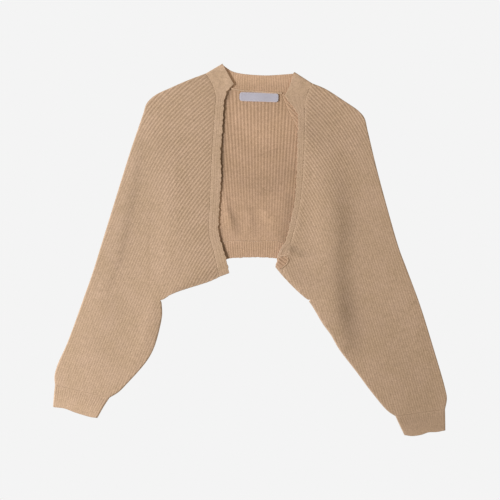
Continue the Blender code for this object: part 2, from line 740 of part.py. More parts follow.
def left_half() -> Half:
    """Tables of the left side."""
    return Half(
        neck=LEFT_NECK, neck_leg=LEFT_NECK_LEG, cuff_out=LEFT_CUFF_OUT,
        cuff_out_leg=LEFT_CUFF_OUT_LEG, cuff_in=LEFT_CUFF_IN, cuff_in_leg=LEFT_CUFF_IN_LEG,
        underarm=LEFT_UNDERARM, underarm_leg=LEFT_UNDERARM_LEG, collar_tip=LEFT_COLLAR_TIP,
        collar_tip_leg=LEFT_COLLAR_TIP_LEG, hem_corner=LEFT_HEM_CORNER, band_tip=LEFT_BAND_TIP,
        front_corner=LEFT_FRONT_CORNER, outer_fold=LEFT_OUTER_FOLD, lower_fold=LEFT_LOWER_FOLD,
        front_hem=LEFT_FRONT_HEM, band_seam=LEFT_BAND_SEAM, raglan=LEFT_RAGLAN,
        back_neck=LEFT_BACK_NECK, collar_edge=LEFT_COLLAR_EDGE, front_edge=LEFT_FRONT_EDGE,
        cuff_outer_side=LEFT_CUFF_OUTER_SIDE, cuff_end=LEFT_CUFF_END,
        cuff_inner_side=LEFT_CUFF_INNER_SIDE, ribs=LEFT_RIBS, mirror=1.0,
    )


def right_half() -> Half:
    """Tables of the right side."""
    return Half(
        neck=RIGHT_NECK, neck_leg=RIGHT_NECK_LEG, cuff_out=RIGHT_CUFF_OUT,
        cuff_out_leg=RIGHT_CUFF_OUT_LEG, cuff_in=RIGHT_CUFF_IN, cuff_in_leg=RIGHT_CUFF_IN_LEG,
        underarm=RIGHT_UNDERARM, underarm_leg=RIGHT_UNDERARM_LEG, collar_tip=RIGHT_COLLAR_TIP,
        collar_tip_leg=RIGHT_COLLAR_TIP_LEG, hem_corner=RIGHT_HEM_CORNER, band_tip=RIGHT_BAND_TIP,
        front_corner=RIGHT_FRONT_CORNER, outer_fold=RIGHT_OUTER_FOLD, lower_fold=RIGHT_LOWER_FOLD,
        front_hem=RIGHT_FRONT_HEM, band_seam=RIGHT_BAND_SEAM, raglan=RIGHT_RAGLAN,
        back_neck=RIGHT_BACK_NECK, collar_edge=RIGHT_COLLAR_EDGE, front_edge=RIGHT_FRONT_EDGE,
        cuff_outer_side=RIGHT_CUFF_OUTER_SIDE, cuff_end=RIGHT_CUFF_END,
        cuff_inner_side=RIGHT_CUFF_INNER_SIDE, ribs=RIGHT_RIBS, mirror=-1.0,
    )


def front_and_sleeve(half: Half) -> Solid:
    """A front with its dolman sleeve: both layers of the sleeve and the single front."""
    outer = smooth_curve(half.outer_fold, EDGE_STEP)
    lower = smooth_curve(half.lower_fold, EDGE_STEP)
    top = Layer([Edge(outer, fold=True), Edge(half.cuff_seam(), seam=True), Edge(lower, fold=True),
                 Edge(half.hem_line()), Edge(half.seam_to_band(), seam=True)],
                front_underside, front_top, on_top=True, soft_underside=True)
    ring = top.ring()
    phase = front_phase(half.ribs, half.mirror)
    top.crests = level_lines(phase, ring, 0.0)
    top.valleys = level_lines(phase, ring, 0.5)
    under = Layer([Edge(outer, fold=True), Edge(half.cuff_seam(), seam=True), Edge(lower, fold=True),
                   Edge(leg(half.underarm, half.underarm_leg)), Edge(half.raglan_seam(), seam=True),
                   Edge(half.neck_seam_part(), seam=True)],
                  lay_flat, ground_top)
    solid = Solid()
    solid.add_layer(top)
    solid.add_layer(under)
    return solid


def cuff(half: Half) -> Solid:
    """A ribbed cuff, a short tube lying double."""
    outer = smooth_curve(half.cuff_outer_side, EDGE_STEP)
    inner = smooth_curve(half.cuff_inner_side, EDGE_STEP)
    knots = [outer[-1], *half.cuff_end, inner[0]]
    start = leg(tuple(outer[-1]), tuple(np.array(knots[1]) - outer[-1]))
    finish = leg(tuple(inner[0]), tuple(np.array(knots[-2]) - inner[0]))
    end = joined(start, smooth_curve([start[-1], *half.cuff_end, finish[-1]], EDGE_STEP), finish[::-1])
    seam = half.cuff_seam()
    edges = [Edge(outer, fold=True), Edge(end), Edge(inner, fold=True), Edge(seam[::-1], seam=True)]
    crests, valleys = ruled_lines(seam, end, CUFF_RIBS, across=True)
    solid = Solid()
    solid.add_layer(Layer(edges, front_underside, front_top, on_top=True, crests=crests,
                          valleys=valleys, soft_underside=True))
    solid.add_layer(Layer(edges, lay_flat, ground_top))
    return solid


def collar_fold(half: Half) -> Plan:
    """Fold across the collar at the side of the neck, from its seam to its free edge."""
    return smooth_curve([half.neck, half.collar_tip], EDGE_STEP)


def front_band_layer(half: Half) -> Layer:
    """The strip along a front, which widens into the front half of the collar."""
    start = leg(half.collar_tip, half.collar_tip_leg)
    free = joined(start, smooth_curve([start[-1], *half.collar_edge], EDGE_STEP),
                  smooth_curve(half.front_edge, EDGE_STEP))
    end = smooth_curve([half.band_tip, half.front_corner], EDGE_STEP / 2)
    seam = half.seam_to_band()
    crests, valleys = ruled_lines(seam[::-1], free, BAND_RIBS, across=False)
    return Layer([Edge(collar_fold(half), fold=True), Edge(free), Edge(end), Edge(seam, seam=True)],
                 front_underside, front_top, on_top=True, crests=crests, valleys=valleys,
                 soft_underside=True)


def back_collar_layer(left: Half, right: Half) -> Layer:
    """The back of the collar, inside out behind the neck."""
    start = leg(left.collar_tip, left.collar_tip_leg)
    finish = leg(right.collar_tip, right.collar_tip_leg)
    free = joined(start, smooth_curve([start[-1], *COLLAR_TOP_EDGE, finish[-1]], EDGE_STEP), finish[::-1])
    seam = joined(left.neck_seam_part()[::-1], smooth_curve(BACK_NECK_SEAM, EDGE_STEP),
                  right.neck_seam_part())
    crests, valleys = ruled_lines(seam, free, COLLAR_RIBS, across=True)
    return Layer([Edge(collar_fold(left), fold=True), Edge(free), Edge(collar_fold(right)[::-1], fold=True),
                  Edge(seam[::-1], seam=True)],
                 lay_flat, ground_top, crests=crests, valleys=valleys)


def neck_and_front_band(left: Half, right: Half) -> Solid:
    """The one strip that edges both fronts and stands as the collar, folded at the sides."""
    solid = Solid()
    solid.add_layer(front_band_layer(left))
    solid.add_layer(front_band_layer(right))
    solid.add_layer(back_collar_layer(left, right))
    return solid


def back_panel(left: Half, right: Half) -> Solid:
    """The back between the two raglan seams, with its inside up."""
    neck = smooth_curve(BACK_NECK_SEAM, EDGE_STEP)
    hem = smooth_curve(HEM_BAND_SEAM, EDGE_STEP)
    layer = Layer([Edge(neck, seam=True), Edge(smooth_curve(right.raglan, EDGE_STEP)[::-1], seam=True),
                   Edge(hem[::-1], seam=True), Edge(smooth_curve(left.raglan, EDGE_STEP), seam=True)],
                  lay_flat, ground_top)
    phase = fan_phase(FAN_STEP_DEG)
    layer.crests = level_lines(phase, layer.ring(), 0.0)
    layer.valleys = level_lines(phase, layer.ring(), 0.5)
    solid = Solid()
    solid.add_layer(layer)
    return solid


def back_hem_band(left: Half, right: Half) -> Solid:
    """The finer rib band at the back's hem."""
    seam = smooth_curve(HEM_BAND_SEAM, EDGE_STEP)
    hem = smooth_curve(BACK_HEM, EDGE_STEP)
    right_end = smooth_curve([right.hem_corner, right.raglan[0]], EDGE_STEP)
    left_end = smooth_curve([left.hem_corner, left.raglan[0]], EDGE_STEP)
    layer = Layer([Edge(seam, seam=True), Edge(right_end[::-1], seam=True), Edge(hem[::-1]),
                   Edge(left_end, seam=True)], lay_flat, ground_top)
    phase = fan_phase(HEM_FAN_STEP_DEG)
    layer.crests = level_lines(phase, layer.ring(), 0.0)
    layer.valleys = level_lines(phase, layer.ring(), 0.5)
    solid = Solid()
    solid.add_layer(layer)
    return solid


def neck_label(collection: bpy.types.Collection) -> bpy.types.Object:
    """The bare woven label, a thin plate with rounded corners on the back panel's ribs."""
    length, width, thickness = (size * MM for size in LABEL_SIZE)
    mesh = bpy.data.meshes.new("neck_label")
    work = bmesh.new()
    bmesh.ops.create_cube(work, size=1.0)
    bmesh.ops.scale(work, vec=(length, width, thickness), verts=work.verts)
    upright = [edge for edge in work.edges
               if abs(edge.verts[0].co.z - edge.verts[1].co.z) > thickness / 2]
    bmesh.ops.bevel(work, geom=upright, offset=LABEL_CORNER * MM, segments=LABEL_CORNER_STEPS,
                    affect="EDGES", profile=0.5)
    work.to_mesh(mesh)
    work.free()
    mesh.materials.append(knit_material("neck_label", LABEL_GREY))
    item = bpy.data.objects.new("neck_label", mesh)
    height = WALL + RIB_RISE + LABEL_CLEARANCE + LABEL_SIZE[2] / 2
    place = (LABEL_CENTRE[0] - PLAN_CENTRE[0], LABEL_CENTRE[1] - PLAN_CENTRE[1], height)
    item.location = tuple(value * MM for value in place)
    item.rotation_euler = (0.0, 0.0, math.radians(LABEL_TILT))
    collection.objects.link(item)
    return item


def clear_scene() -> None:
    """Removes what the scene holds."""
    for item in list(bpy.data.objects):
        bpy.data.objects.remove(item, do_unlink=True)


def main() -> None:
    """Builds the cardigan in its own collection."""
    clear_scene()
    collection = bpy.data.collections.new("cropped_cardigan")
    bpy.context.scene.collection.children.link(collection)
    left, right = left_half(), right_half()
    front_and_sleeve(left).make("front_sleeve_left", CAMEL, collection)
    front_and_sleeve(right).make("front_sleeve_right", CAMEL, collection)
    cuff(left).make("cuff_left", CAMEL, collection)
    cuff(right).make("cuff_right", CAMEL, collection)
    neck_and_front_band(left, right).make("neck_front_band", CAMEL, collection)
    back_panel(left, right).make("back_panel", CAMEL_SHADE, collection)
    back_hem_band(left, right).make("back_hem_band", CAMEL_SHADE, collection)
    neck_label(collection)


main()
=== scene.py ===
"""Looks of a cropped rib-knit cardigan with dolman sleeves, laid flat with its front up.

The cloth is built as thin shells that follow the ribs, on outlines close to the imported
model's. Ribs and stitches come from Geometry Nodes, the knit and the woven label from shader
nodes. Plan tables are in millimetres, x to the right sleeve and y to the neck. Left and right
are as seen from above. Finished meshes are in metres.
"""

import logging
import math
from collections.abc import Callable
from dataclasses import dataclass
from enum import Enum
from functools import partial
from typing import Any, NamedTuple

import bmesh
import bpy
import numpy as np
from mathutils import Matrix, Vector, geometry, kdtree

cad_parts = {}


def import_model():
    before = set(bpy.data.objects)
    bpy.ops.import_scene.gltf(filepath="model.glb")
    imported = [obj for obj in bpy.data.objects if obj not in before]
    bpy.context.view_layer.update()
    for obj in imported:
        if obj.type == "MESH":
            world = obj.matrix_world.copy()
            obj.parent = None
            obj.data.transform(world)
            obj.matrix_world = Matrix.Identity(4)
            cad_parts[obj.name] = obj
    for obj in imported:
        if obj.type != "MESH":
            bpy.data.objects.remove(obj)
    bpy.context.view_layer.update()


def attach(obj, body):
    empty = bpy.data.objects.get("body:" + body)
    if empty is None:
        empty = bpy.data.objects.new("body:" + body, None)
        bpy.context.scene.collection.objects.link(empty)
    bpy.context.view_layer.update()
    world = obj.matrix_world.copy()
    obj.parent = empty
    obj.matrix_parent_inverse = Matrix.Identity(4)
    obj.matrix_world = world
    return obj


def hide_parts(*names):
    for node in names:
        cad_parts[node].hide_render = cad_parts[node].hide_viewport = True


log = logging.getLogger("cardigan")

# Plan points, and one number for each of them
Plan = Row = np.ndarray
Height = Callable[[Row, Row], Row]
Object, Mesh, Material = bpy.types.Object, bpy.types.Mesh, bpy.types.Material

MM = 0.001
PLAN_CENTRE = (2.3, -0.1)

# Thickness of the cloth and the heights at which it lies
WALL = 2.2
RIB_RISE = 1.0
LAYER_GAP = 0.8
FRONT_LOW = WALL + RIB_RISE + LAYER_GAP
FRONT_HIGH = FRONT_LOW + WALL
FOLD_MIDDLE = FRONT_HIGH / 2
FOLD_ROUND = FOLD_MIDDLE
FOLD_LEG = FOLD_ROUND + 1.3
LEG_SPARE = 0.4
UNDER_RIB = 0.7
UNDER_RISE = 0.5

# How far the two layers rise and sink over their own level
LOFT = 0.9
LOFT_LEAST = -3.3
LOFT_MOST = 6.5
BACK_LEAST = -0.8

# Edges: half the furrow between two sewn pieces, and how round the end of the cloth is
SEAM_HALF_GAP = 0.03
EDGE_ROUND = 1.1
EDGE_FLOOR = 0.3
SEAM_ROUND = 0.35
SEAM_FLOOR = 0.97
EDGE_INSETS = (0.3, 0.7, 1.15)
INSET_SPARE = 0.9
LEAST_TURN = 0.15

# Waves of a free edge, as lengths and shares, and how far they fade out towards its ends
WAVER_PARTS = ((9.7, 0.34), (14.3, 0.3), (23.0, 0.36))
WAVER_CALM = 12.0

# How finely outlines and faces are followed
EDGE_STEP = 6.0
HEM_STEP = 1.6
ROLL_STEP = 0.8
ROLL_TAPER = 3.0
ROLL_LEAST = 0.02
TRACE_STEP = 2.0
TRACE_MARGIN = 10.0
GRID_STEP = 18.0
GRID_ROWS = 0.87
CLEAR_OF_FOLD = 0.3
CLEAR_OF_EDGE = 1.3
FADE_SEAM = 3.0
FADE_FOLD = 1.2
FOLD_ANGLES = (0, 18, 36, 54, 72, 90)
FINE_LINE = 0.5
UNDER_SHARES = 6
LINE_END = 16.0
LINE_LEAST = 3

# Ribs: how bundles blend, and how their height goes with the distance from rib to rib
RIB_BLEND = 0.8
PITCH_FLAT = 3.5
PITCH_FULL = 6.1
LEAST_SLOPE = 0.05
DEPTH_LEAST = 0.05
DEPTH_MOST = 1.1
DEPTH_POWER = 1.4

# What each point of the cloth carries for its ribs, its finish and its painted light and shade
ATTRIBUTES = ("rib_phase", "rib_run", "rib_share", "inside_out", "painted_shading")

# Decimals of a millimetre to which points are told apart
POINT_DIGITS = 4
PLAN_DIGITS = 5
SAME_PLACE = 1e-6
FILL_INSIDE = 1


class Ends(Enum):
    """How a stretch of outline ends the cloth."""

    FOLD = "fold"
    SEAM = "seam"
    HEM = "hem"


@dataclass(frozen=True)
class Side:
    """Outline tables of one side, inner knots only, with the corners between them."""

    neck: tuple
    neck_leg: tuple
    cuff_out: tuple
    cuff_out_leg: tuple
    cuff_in: tuple
    cuff_in_leg: tuple
    underarm: tuple
    underarm_leg: tuple
    hem_corner: tuple
    band_corner: tuple
    raglan_top: tuple
    front_corner: tuple
    band_tip: tuple
    collar_tip: tuple
    collar_tip_leg: tuple
    collar_corner: tuple
    outer_fold: tuple
    lower_fold: tuple
    front_hem: tuple
    band_seam: tuple
    raglan: tuple
    back_neck: tuple
    collar_edge: tuple
    front_edge: tuple
    cuff_outer_side: tuple
    cuff_end: tuple
    cuff_inner_side: tuple

    def cuff_seam(self) -> Plan:
        """Seam between sleeve and cuff, from the outer fold to the lower one."""
        start, end = leg(self.cuff_out, self.cuff_out_leg), leg(self.cuff_in, self.cuff_in_leg)
        return joined(start, smooth_curve([start[-1], end[-1]]), end[::-1])

    def seam_to_band(self) -> Plan:
        """Seam between front and band, from the hem up to the neck."""
        top = leg(self.neck, self.neck_leg)
        return joined(smooth_curve([self.front_corner, *self.band_seam, top[-1]]), top[::-1])

    def hem_line(self) -> Plan:
        """The front's hem, from the underarm to the band."""
        start = leg(self.underarm, self.underarm_leg)
        return joined(start, smooth_curve([start[-1], *self.front_hem, self.front_corner], HEM_STEP))

    def raglan_line(self) -> Plan:
        """Seam between the sleeve's back layer and the back panel, from the hem band up."""
        return smooth_curve([self.band_corner, *self.raglan, self.raglan_top])

    def raglan_seam(self) -> Plan:
        """The whole back seam of the sleeve, from the underarm up."""
        start = leg(self.underarm, self.underarm_leg)[-1]
        return joined(smooth_curve([start, self.hem_corner, self.band_corner]), self.raglan_line())

    def neck_seam_part(self) -> Plan:
        """Seam between the sleeve's back layer and the collar, from the raglan outwards."""
        end = leg(self.neck, self.neck_leg)
        return joined(smooth_curve([self.raglan_top, *self.back_neck, end[-1]]), end[::-1])

    def collar_fold(self) -> Plan:
        """Fold across the collar at the side of the neck, from its seam to its free edge."""
        return smooth_curve([self.neck, self.collar_tip])

    def outer_line(self) -> Plan:
        """The sleeve's upper fold, from the neck to the cuff."""
        return smooth_curve([self.neck, *self.outer_fold, self.cuff_out])

    def lower_line(self) -> Plan:
        """The sleeve's lower fold, from the cuff to the underarm."""
        return smooth_curve([self.cuff_in, *self.lower_fold, self.underarm])


LEFT = Side(
    neck=(-86.6, 353.4), neck_leg=(0.43, -0.9), cuff_out=(-388.4, -270), cuff_out_leg=(0.968, -0.25),
    cuff_in=(-279, -295.6), cuff_in_leg=(-0.968, 0.25), underarm=(-175, -104.6), underarm_leg=(-0.6, 0.8),
    hem_corner=(-173.8, -88), band_corner=(-172, -55), raglan_top=(-35, 323.2), front_corner=(-59, -53.6),
    band_tip=(-39.6, -46.2), collar_tip=(-53.4, 373), collar_tip_leg=(0.55, -0.83),
    collar_corner=(-29.8, 332),
    outer_fold=((-125, 338.8), (-157.2, 324.6), (-188, 309.8), (-205, 293.4), (-211.6, 273.4),
        (-236.8, 199.6), (-266.2, 105.8), (-295.8, 10), (-312.6, -44), (-331.4, -97.4), (-363.6, -185.8),
        (-384, -231.4), (-389.4, -252.8)),
    lower_fold=((-261.6, -285), (-242.8, -266.2), (-205.4, -223.4), (-190.4, -196.6), (-176.8, -148.4),
        (-173.6, -126.8), (-174.2, -113.6)),
    front_hem=((-168.4, -97), (-161, -91.8), (-149, -86), (-125, -77.6), (-101, -70.2), (-77, -62)),
    band_seam=((-71, -1), (-79.6, 31), (-78, 89), (-75, 169), (-68, 279), (-66.2, 309), (-70, 323),
        (-78, 339)),
    raglan=((-162, 20), (-145, 100), (-115, 190), (-80, 258), (-47, 307)),
    back_neck=((-50, 327.5), (-66, 335)),
    collar_edge=((-40.4, 350.2), (-32.8, 336.5)),
    front_edge=((-42, 318.8), (-48.8, 301.4), (-51.4, 271.8), (-54, 229), (-56.8, 191.6), (-55.4, 151.4),
        (-56.8, 121.8), (-60, 73), (-60.8, 36.2), (-55.4, 14.8), (-45.6, -18)),
    cuff_outer_side=((-390.6, -292), (-392.2, -313.8)),
    cuff_end=((-368.8, -317), (-347.4, -325), (-315.2, -334.4)),
    cuff_inner_side=((-303.2, -335.8), (-291, -314)),
)
RIGHT = Side(
    neck=(126.4, 333.6), neck_leg=(-0.42, -0.91), cuff_out=(392.4, -318.6), cuff_out_leg=(-0.99, -0.14),
    cuff_in=(293, -332.6), cuff_in_leg=(0.99, 0.14), underarm=(120, -103.2), underarm_leg=(0.6, 0.8),
    hem_corner=(125, -86), band_corner=(128, -53), raglan_top=(65, 313.9), front_corner=(66.2, -50.6),
    band_tip=(52.8, -34.4), collar_tip=(91, 356.4), collar_tip_leg=(-0.62, -0.78),
    collar_corner=(71.6, 308.2),
    outer_fold=((151, 323.6), (187.8, 300.4), (220.8, 277.2), (231.4, 264), (237, 241.4), (253.6, 171.4),
        (276, 87.2), (300.4, 3), (314.3, -34.2), (342.6, -110.6), (368, -192.2), (391.8, -273.8),
        (396.2, -296.8)),
    lower_fold=((277.6, -322.4), (247, -286.8), (214.4, -243.2), (179.4, -197.4), (163.4, -169.4),
        (148.2, -149), (127, -113.2)),
    front_hem=((117.2, -98.8), (103, -87.6), (87, -72.6)),
    band_seam=((71.5, -26), (80, 5), (88, 31), (97, 69), (105, 119), (110.6, 207), (112.6, 293),
        (115.4, 308.2)),
    raglan=((131, 0), (130, 100), (112, 200), (92, 253), (78, 281)),
    back_neck=((90, 317.5), (110, 323.5)),
    collar_edge=((82, 330), (74.4, 314)),
    front_edge=((84, 291), (95.4, 274.8), (98.2, 262), (97.2, 226), (95.4, 149.4), (91, 92.8), (84, 61.8),
        (72.8, 17), (61.6, 0.2), (57, -14)),
    cuff_outer_side=((392.8, -340), (393, -360.6)),
    cuff_end=((374.6, -364), (359.2, -364.6), (344, -369.6), (326, -372)),
    cuff_inner_side=((310.8, -370.2), (302, -352)),
)
BACK_NECK_SEAM = (LEFT.raglan_top, (-17.6, 319.6), (17, 316.8), (45, 315), RIGHT.raglan_top)
COLLAR_TOP_EDGE = ((-35.4, 358.6), (-17.6, 353.6), (7.4, 350.8), (36, 349.6), (64.8, 351.2))
BACK_HEM = (
    LEFT.hem_corner, (-140, -72), (-95, -41), (-45, -18), (-15, -15.2), (17, -14.4), (43, -15.6), (59, -18),
    (82, -44), (103, -70), RIGHT.hem_corner,
)
HEM_BAND_SEAM = (
    LEFT.band_corner, (-140, -40), (-95, -9), (-45, 16.6), (17, 17.6), (62, 17), (90, -8), (110, -34),
    RIGHT.band_corner,
)


class Swell(NamedTuple):
    """A soft ridge along a line, or a trough where its height is negative.

    knots are plan points with the height there, left and right how far the swell spreads to
    either side as seen from its start. As painted light and shade, the height is its share of the tone.
    """

    knots: tuple
    left: float
    right: float

    def height(self, x: Row, y: Row) -> Row:
        """Height of the swell at plan points."""
        nearest = np.full_like(x, np.inf)
        height, spread = np.zeros_like(x), np.ones_like(x)
        for (x1, y1, h1), (x2, y2, h2) in zip(self.knots, self.knots[1:]):
            along, up = x2 - x1, y2 - y1
            length = math.hypot(along, up)
            share = np.clip(((x - x1) * along + (y - y1) * up) / length ** 2, 0.0, 1.0)
            away = np.hypot(x - x1 - share * along, y - y1 - share * up)
            beside = (along * (y - y1) - up * (x - x1)) / length
            turn = np.clip(beside / np.maximum(away, SAME_PLACE), -1.0, 1.0)
            closer = away < nearest
            nearest = np.where(closer, away, nearest)
            height = np.where(closer, h1 + (h2 - h1) * share, height)
            own = (self.left + self.right + (self.left - self.right) * turn) / 2
            spread = np.where(closer, own, spread)
        return height * np.exp(-(nearest / spread) ** 2)


FRONT_SWELLS = (
    Swell(((-140, -84, -0.8), (-100, -63, -2.1), (-62, -48, -2.5), (-45, -42, -1.8)), 11, 12),
    Swell(((54, -36, -2.4), (94, -80, -2.4)), 6, 6),
    Swell(((-60, 372, -1.6), (-48, 320, -1.1), (-56, 280, -0.9), (-57, 130, -0.9), (-57, 60, -1.6),
        (-56, 20, -1)), 8, 20),
    Swell(((-218, 205, 0.5), (-240, 110, 1), (-262, 5, 1.1), (-300, -95, 0.6)), 20, 10),
    Swell(((-150, 185, 0.8), (-158, 60, 1.3), (-163, -30, 1.1)), 28, 26),
    Swell(((-196, 80, -0.3), (-198, 0, -0.6), (-197, -75, -0.3)), 3.5, 3.5),
    Swell(((-195, -115, 0.8), (-212, -190, 1.2), (-235, -225, 0.6)), 16, 12),
    Swell(((160, 190, 1.5), (168, 120, 3.6), (172, 50, 4.6), (168, -50, 4.6), (172, -115, 5.4),
        (184, -185, 3.4)), 26, 44),
    Swell(((80, 17, 0.3), (64, -1, 1.3), (57.5, -26, 0.6)), 4, 6),
    Swell(((81, 16, 0.3), (80.5, -4, 0.9), (80, -20, 0.5)), 3, 3.5),
    Swell(((300, -60, 0.6), (330, -150, 1.4), (352, -220, 0.8)), 24, 30),
    Swell(((103, 263, -0.4), (128, 240, -1.1), (150, 219, -0.4)), 12, 12),
    Swell(((92, -4, -1.6), (112, -12, -1.4), (145, -12, -0.5)), 5, 9),
)
BACK_SWELLS = (
    Swell(((-52, 372, 0.4), (-44, 320, 0.6), (-54, 130, 0.7), (-54, 60, 0.4), (-52, 20, 0)), 9, 9),
    Swell(((-46, 112, 0.3), (-43, 80, 1.3), (-36, 50, 0.9), (-34, 30, 0.3)), 6, 7),
    Swell(((22, 84, 0.5), (34, 72, 1.4), (48, 60, 0.9), (50, 40, 0.3)), 11, 9),
    Swell(((-8, 88, 0.3), (2, 60, 0.8), (-4, 34, 0.4)), 8, 8),
    Swell(((-35, 146, 0.8), (25, 128, 1.3), (85, 138, 0.8)), 16, 16),
    Swell(((-34, 215, 0.5), (0, 190, 1.1), (48, 196, 0.6)), 14, 12),
)
# Painted light and shade on the top faces of fronts, sleeves, cuffs and band: darker bands along creases,
# the hem and the underarm, lighter ones where more light falls
FRONT_PAINTED_SHADING = (
    Swell(((176, 130, -0.04), (185, 70, -0.11), (187, 20, -0.14), (183, -30, -0.13), (189, -80, -0.19),
        (194, -125, -0.25), (206, -184, -0.12)), 25, 21),
    Swell(((178, 140, -0.02), (196, 60, -0.03)), 34, 34),
    Swell(((84, 6, -0.14), (90, 1, -0.22), (104, -6, -0.1)), 6, 7),
    Swell(((104, -9, -0.08), (138, -8, -0.05)), 4.5, 4.5),
    Swell(((96, -50, -0.05), (140, -64, -0.06)), 22, 22),
    Swell(((-218, 200, -0.03), (-262, 40, -0.04), (-300, -60, -0.03)), 26, 30),
    Swell(((-180, 205, -0.04), (-225, 60, -0.06), (-265, -90, -0.05), (-285, -190, -0.05)), 44, 50),
    Swell(((-390, -300, 0.06), (-305, -330, 0.06)), 24, 24),
    Swell(((330, -345, -0.09), (395, -350, -0.09)), 26, 26),
    Swell(((290, -150, -0.03), (345, -285, -0.06)), 40, 55),
    Swell(((150, 320, 0.05), (215, 270, 0.06)), 26, 26),
    Swell(((124, 190, 0.04), (131, 100, 0.07), (138, 20, 0.04)), 19, 19),
    Swell(((124, 250, -0.05), (146, 216, -0.05)), 16, 16),
    Swell(((-186, -112, -0.05), (-180, -150, -0.11), (-192, -195, -0.06)), 9, 8),
    Swell(((-150, -86, -0.1), (-100, -64, -0.13), (-56, -46, -0.08)), 4, 4),
    Swell(((-212, 215, -0.03), (-229, 110, -0.09), (-254, -11, -0.09), (-282, -81, -0.04)), 7, 8),
    Swell(((-222, 215, -0.02), (-244, 110, -0.05), (-270, 0, -0.05), (-310, -95, -0.02)), 9, 9),
    Swell(((-192, 88, -0.03), (-194, -60, -0.04)), 6, 6),
    Swell(((-276, -105, -0.03), (-268, -125, -0.03)), 20, 20),
)
# Painted light and shade on the top faces that show the inside: a painted shadow beside the left front's
# edge, darker and lighter patches over the back's creases, and a lighter collar
BACK_PAINTED_SHADING = (
    Swell(((-38, 318, -0.32), (-47.5, 296, -0.48), (-50.5, 265, -0.56), (-52.5, 220, -0.48),
        (-53.5, 180, -0.58), (-54, 137, -0.45), (-57, 105, 0), (-58, 58, 0), (-55, 16, -0.5),
        (-43, -14, -0.5)), 3.8, 4),
    Swell(((-40, 148, -0.05), (20, 122, -0.11), (84, 150, -0.11)), 26, 20),
    Swell(((82, 104, -0.17), (76, 30, -0.19)), 12, 13),
    Swell(((-30, 275, 0.08), (20, 230, 0.12), (66, 250, 0.1)), 34, 30),
    Swell(((14, 200, -0.03), (30, 190, -0.05), (56, 200, -0.03)), 7, 7),
    Swell(((-50, 90, 0.07), (-48, 56, 0.1)), 6, 6),
    Swell(((-40, 84, -0.1), (-30, 62, -0.22), (-23, 36, -0.12)), 7, 7),
    Swell(((-26, 85, -0.05), (46, 84, -0.05)), 3, 3),
    Swell(((26, 76, 0.08), (42, 58, 0.1)), 11, 11),
    Swell(((6, 80, -0.07), (12, 36, -0.07)), 7, 7),
    Swell(((60, 34, -0.06), (70, 14, -0.12)), 9, 9),
    Swell(((-70, 345, 0.13), (20, 345, 0.16), (110, 345, 0.13)), 13, 13),
)


class RibFamily(NamedTuple):
    """One bundle of parallel ribs, and the point where it meets an earlier one."""

    slope_deg: float
    pitch: float
    joins_x: float
    joins_y: float


LEFT_RIBS = (
    RibFamily(53, 6.2, -203, 40),
    RibFamily(46.5, 6.2, -110, 215),
    RibFamily(38, 6.2, -150, 300),
    RibFamily(67.5, 4.45, -203, 40),
    RibFamily(66, 5.1, -195, 225),
    RibFamily(69, 4.8, -290, -60),
)
RIGHT_RIBS = (
    RibFamily(60, 5.4, -130, 100),
    RibFamily(51, 5.7, -130, 190),
    RibFamily(42, 5.9, -150, 270),
    RibFamily(71, 4.8, -190, 130),
    RibFamily(74, 4.9, -300, -120),
)


def unit(vectors: np.ndarray) -> np.ndarray:
    """A vector, or each row of several, at length one."""
    if vectors.ndim == 1:
        return vectors / np.linalg.norm(vectors)
    return vectors / np.linalg.norm(vectors, axis=1)[:, None]


def normals_of(spans: Plan) -> Plan:
    """Unit vectors square to spans, on their left."""
    return unit(np.column_stack([-spans[:, 1], spans[:, 0]]))


def turn_of(ring: Plan) -> float:
    """1 where a closed ring runs anticlockwise, else -1."""
    ahead = np.roll(ring, -1, axis=0)
    return math.copysign(1.0, np.sum(ring[:, 0] * ahead[:, 1] - ahead[:, 0] * ring[:, 1]))


def smooth_curve(knots: list, spacing: float = EDGE_STEP) -> Plan:
    """Points on a smooth curve through the knots.

    Args:
        knots: plan points that the curve passes.
        spacing: rough distance between the points made.

    Returns:
        The points from the first knot to the last.
    """
    knots = np.asarray(knots, dtype=float)
    padded = np.vstack([2 * knots[0] - knots[1], knots, 2 * knots[-1] - knots[-2]])
    points = [knots[0]]
    for before, start, end, after in zip(padded, padded[1:], padded[2:], padded[3:]):
        back, here, ahead = (np.linalg.norm(b - a) ** 0.5
                             for a, b in ((before, start), (start, end), (end, after)))
        leave = here * ((start - before) / back - (end - before) / (back + here)) + (end - start)
        arrive = here * ((after - end) / ahead - (after - start) / (here + ahead)) + (end - start)
        count = max(1, round(float(np.linalg.norm(end - start)) / spacing))
        for step in range(1, count + 1):
            t = step / count
            points.append((2 * t ** 3 - 3 * t ** 2 + 1) * start + (t ** 3 - 2 * t ** 2 + t) * leave
                          + (3 * t ** 2 - 2 * t ** 3) * end + (t ** 3 - t ** 2) * arrive)
    return np.array(points)


def lengths_along(line: np.ndarray) -> Row:
    """Distance of each point of a line from its start."""
    return np.concatenate([[0.0], np.cumsum(np.linalg.norm(np.diff(line, axis=0), axis=1))])


def resample(line: Plan, count: int) -> Plan:
    """The line with count points at equal distances."""
    lengths = lengths_along(line)
    places = np.linspace(0.0, lengths[-1], count)
    return np.column_stack([np.interp(places, lengths, line[:, k]) for k in range(line.shape[1])])


def leg(corner: tuple, direction: tuple) -> Plan:
    """The straight start of an edge, from the end of a fold across its round."""
    start, way = np.array(corner), unit(np.array(direction))
    return np.vstack([start, start + way * (FOLD_ROUND + LEG_SPARE), start + way * FOLD_LEG])


def joined(*lines: Plan) -> Plan:
    """Lines laid end to end, without the doubled points."""
    points = [lines[0]]
    for line in lines[1:]:
        doubled = np.allclose(line[0], points[-1][-1], atol=SAME_PLACE)
        points.append(line[1:] if doubled else line)
    return np.vstack(points)


def smoothstep(values: Row) -> Row:
    """An even rise from 0 to 1."""
    share = np.clip(values, 0.0, 1.0)
    return share * share * (3.0 - 2.0 * share)


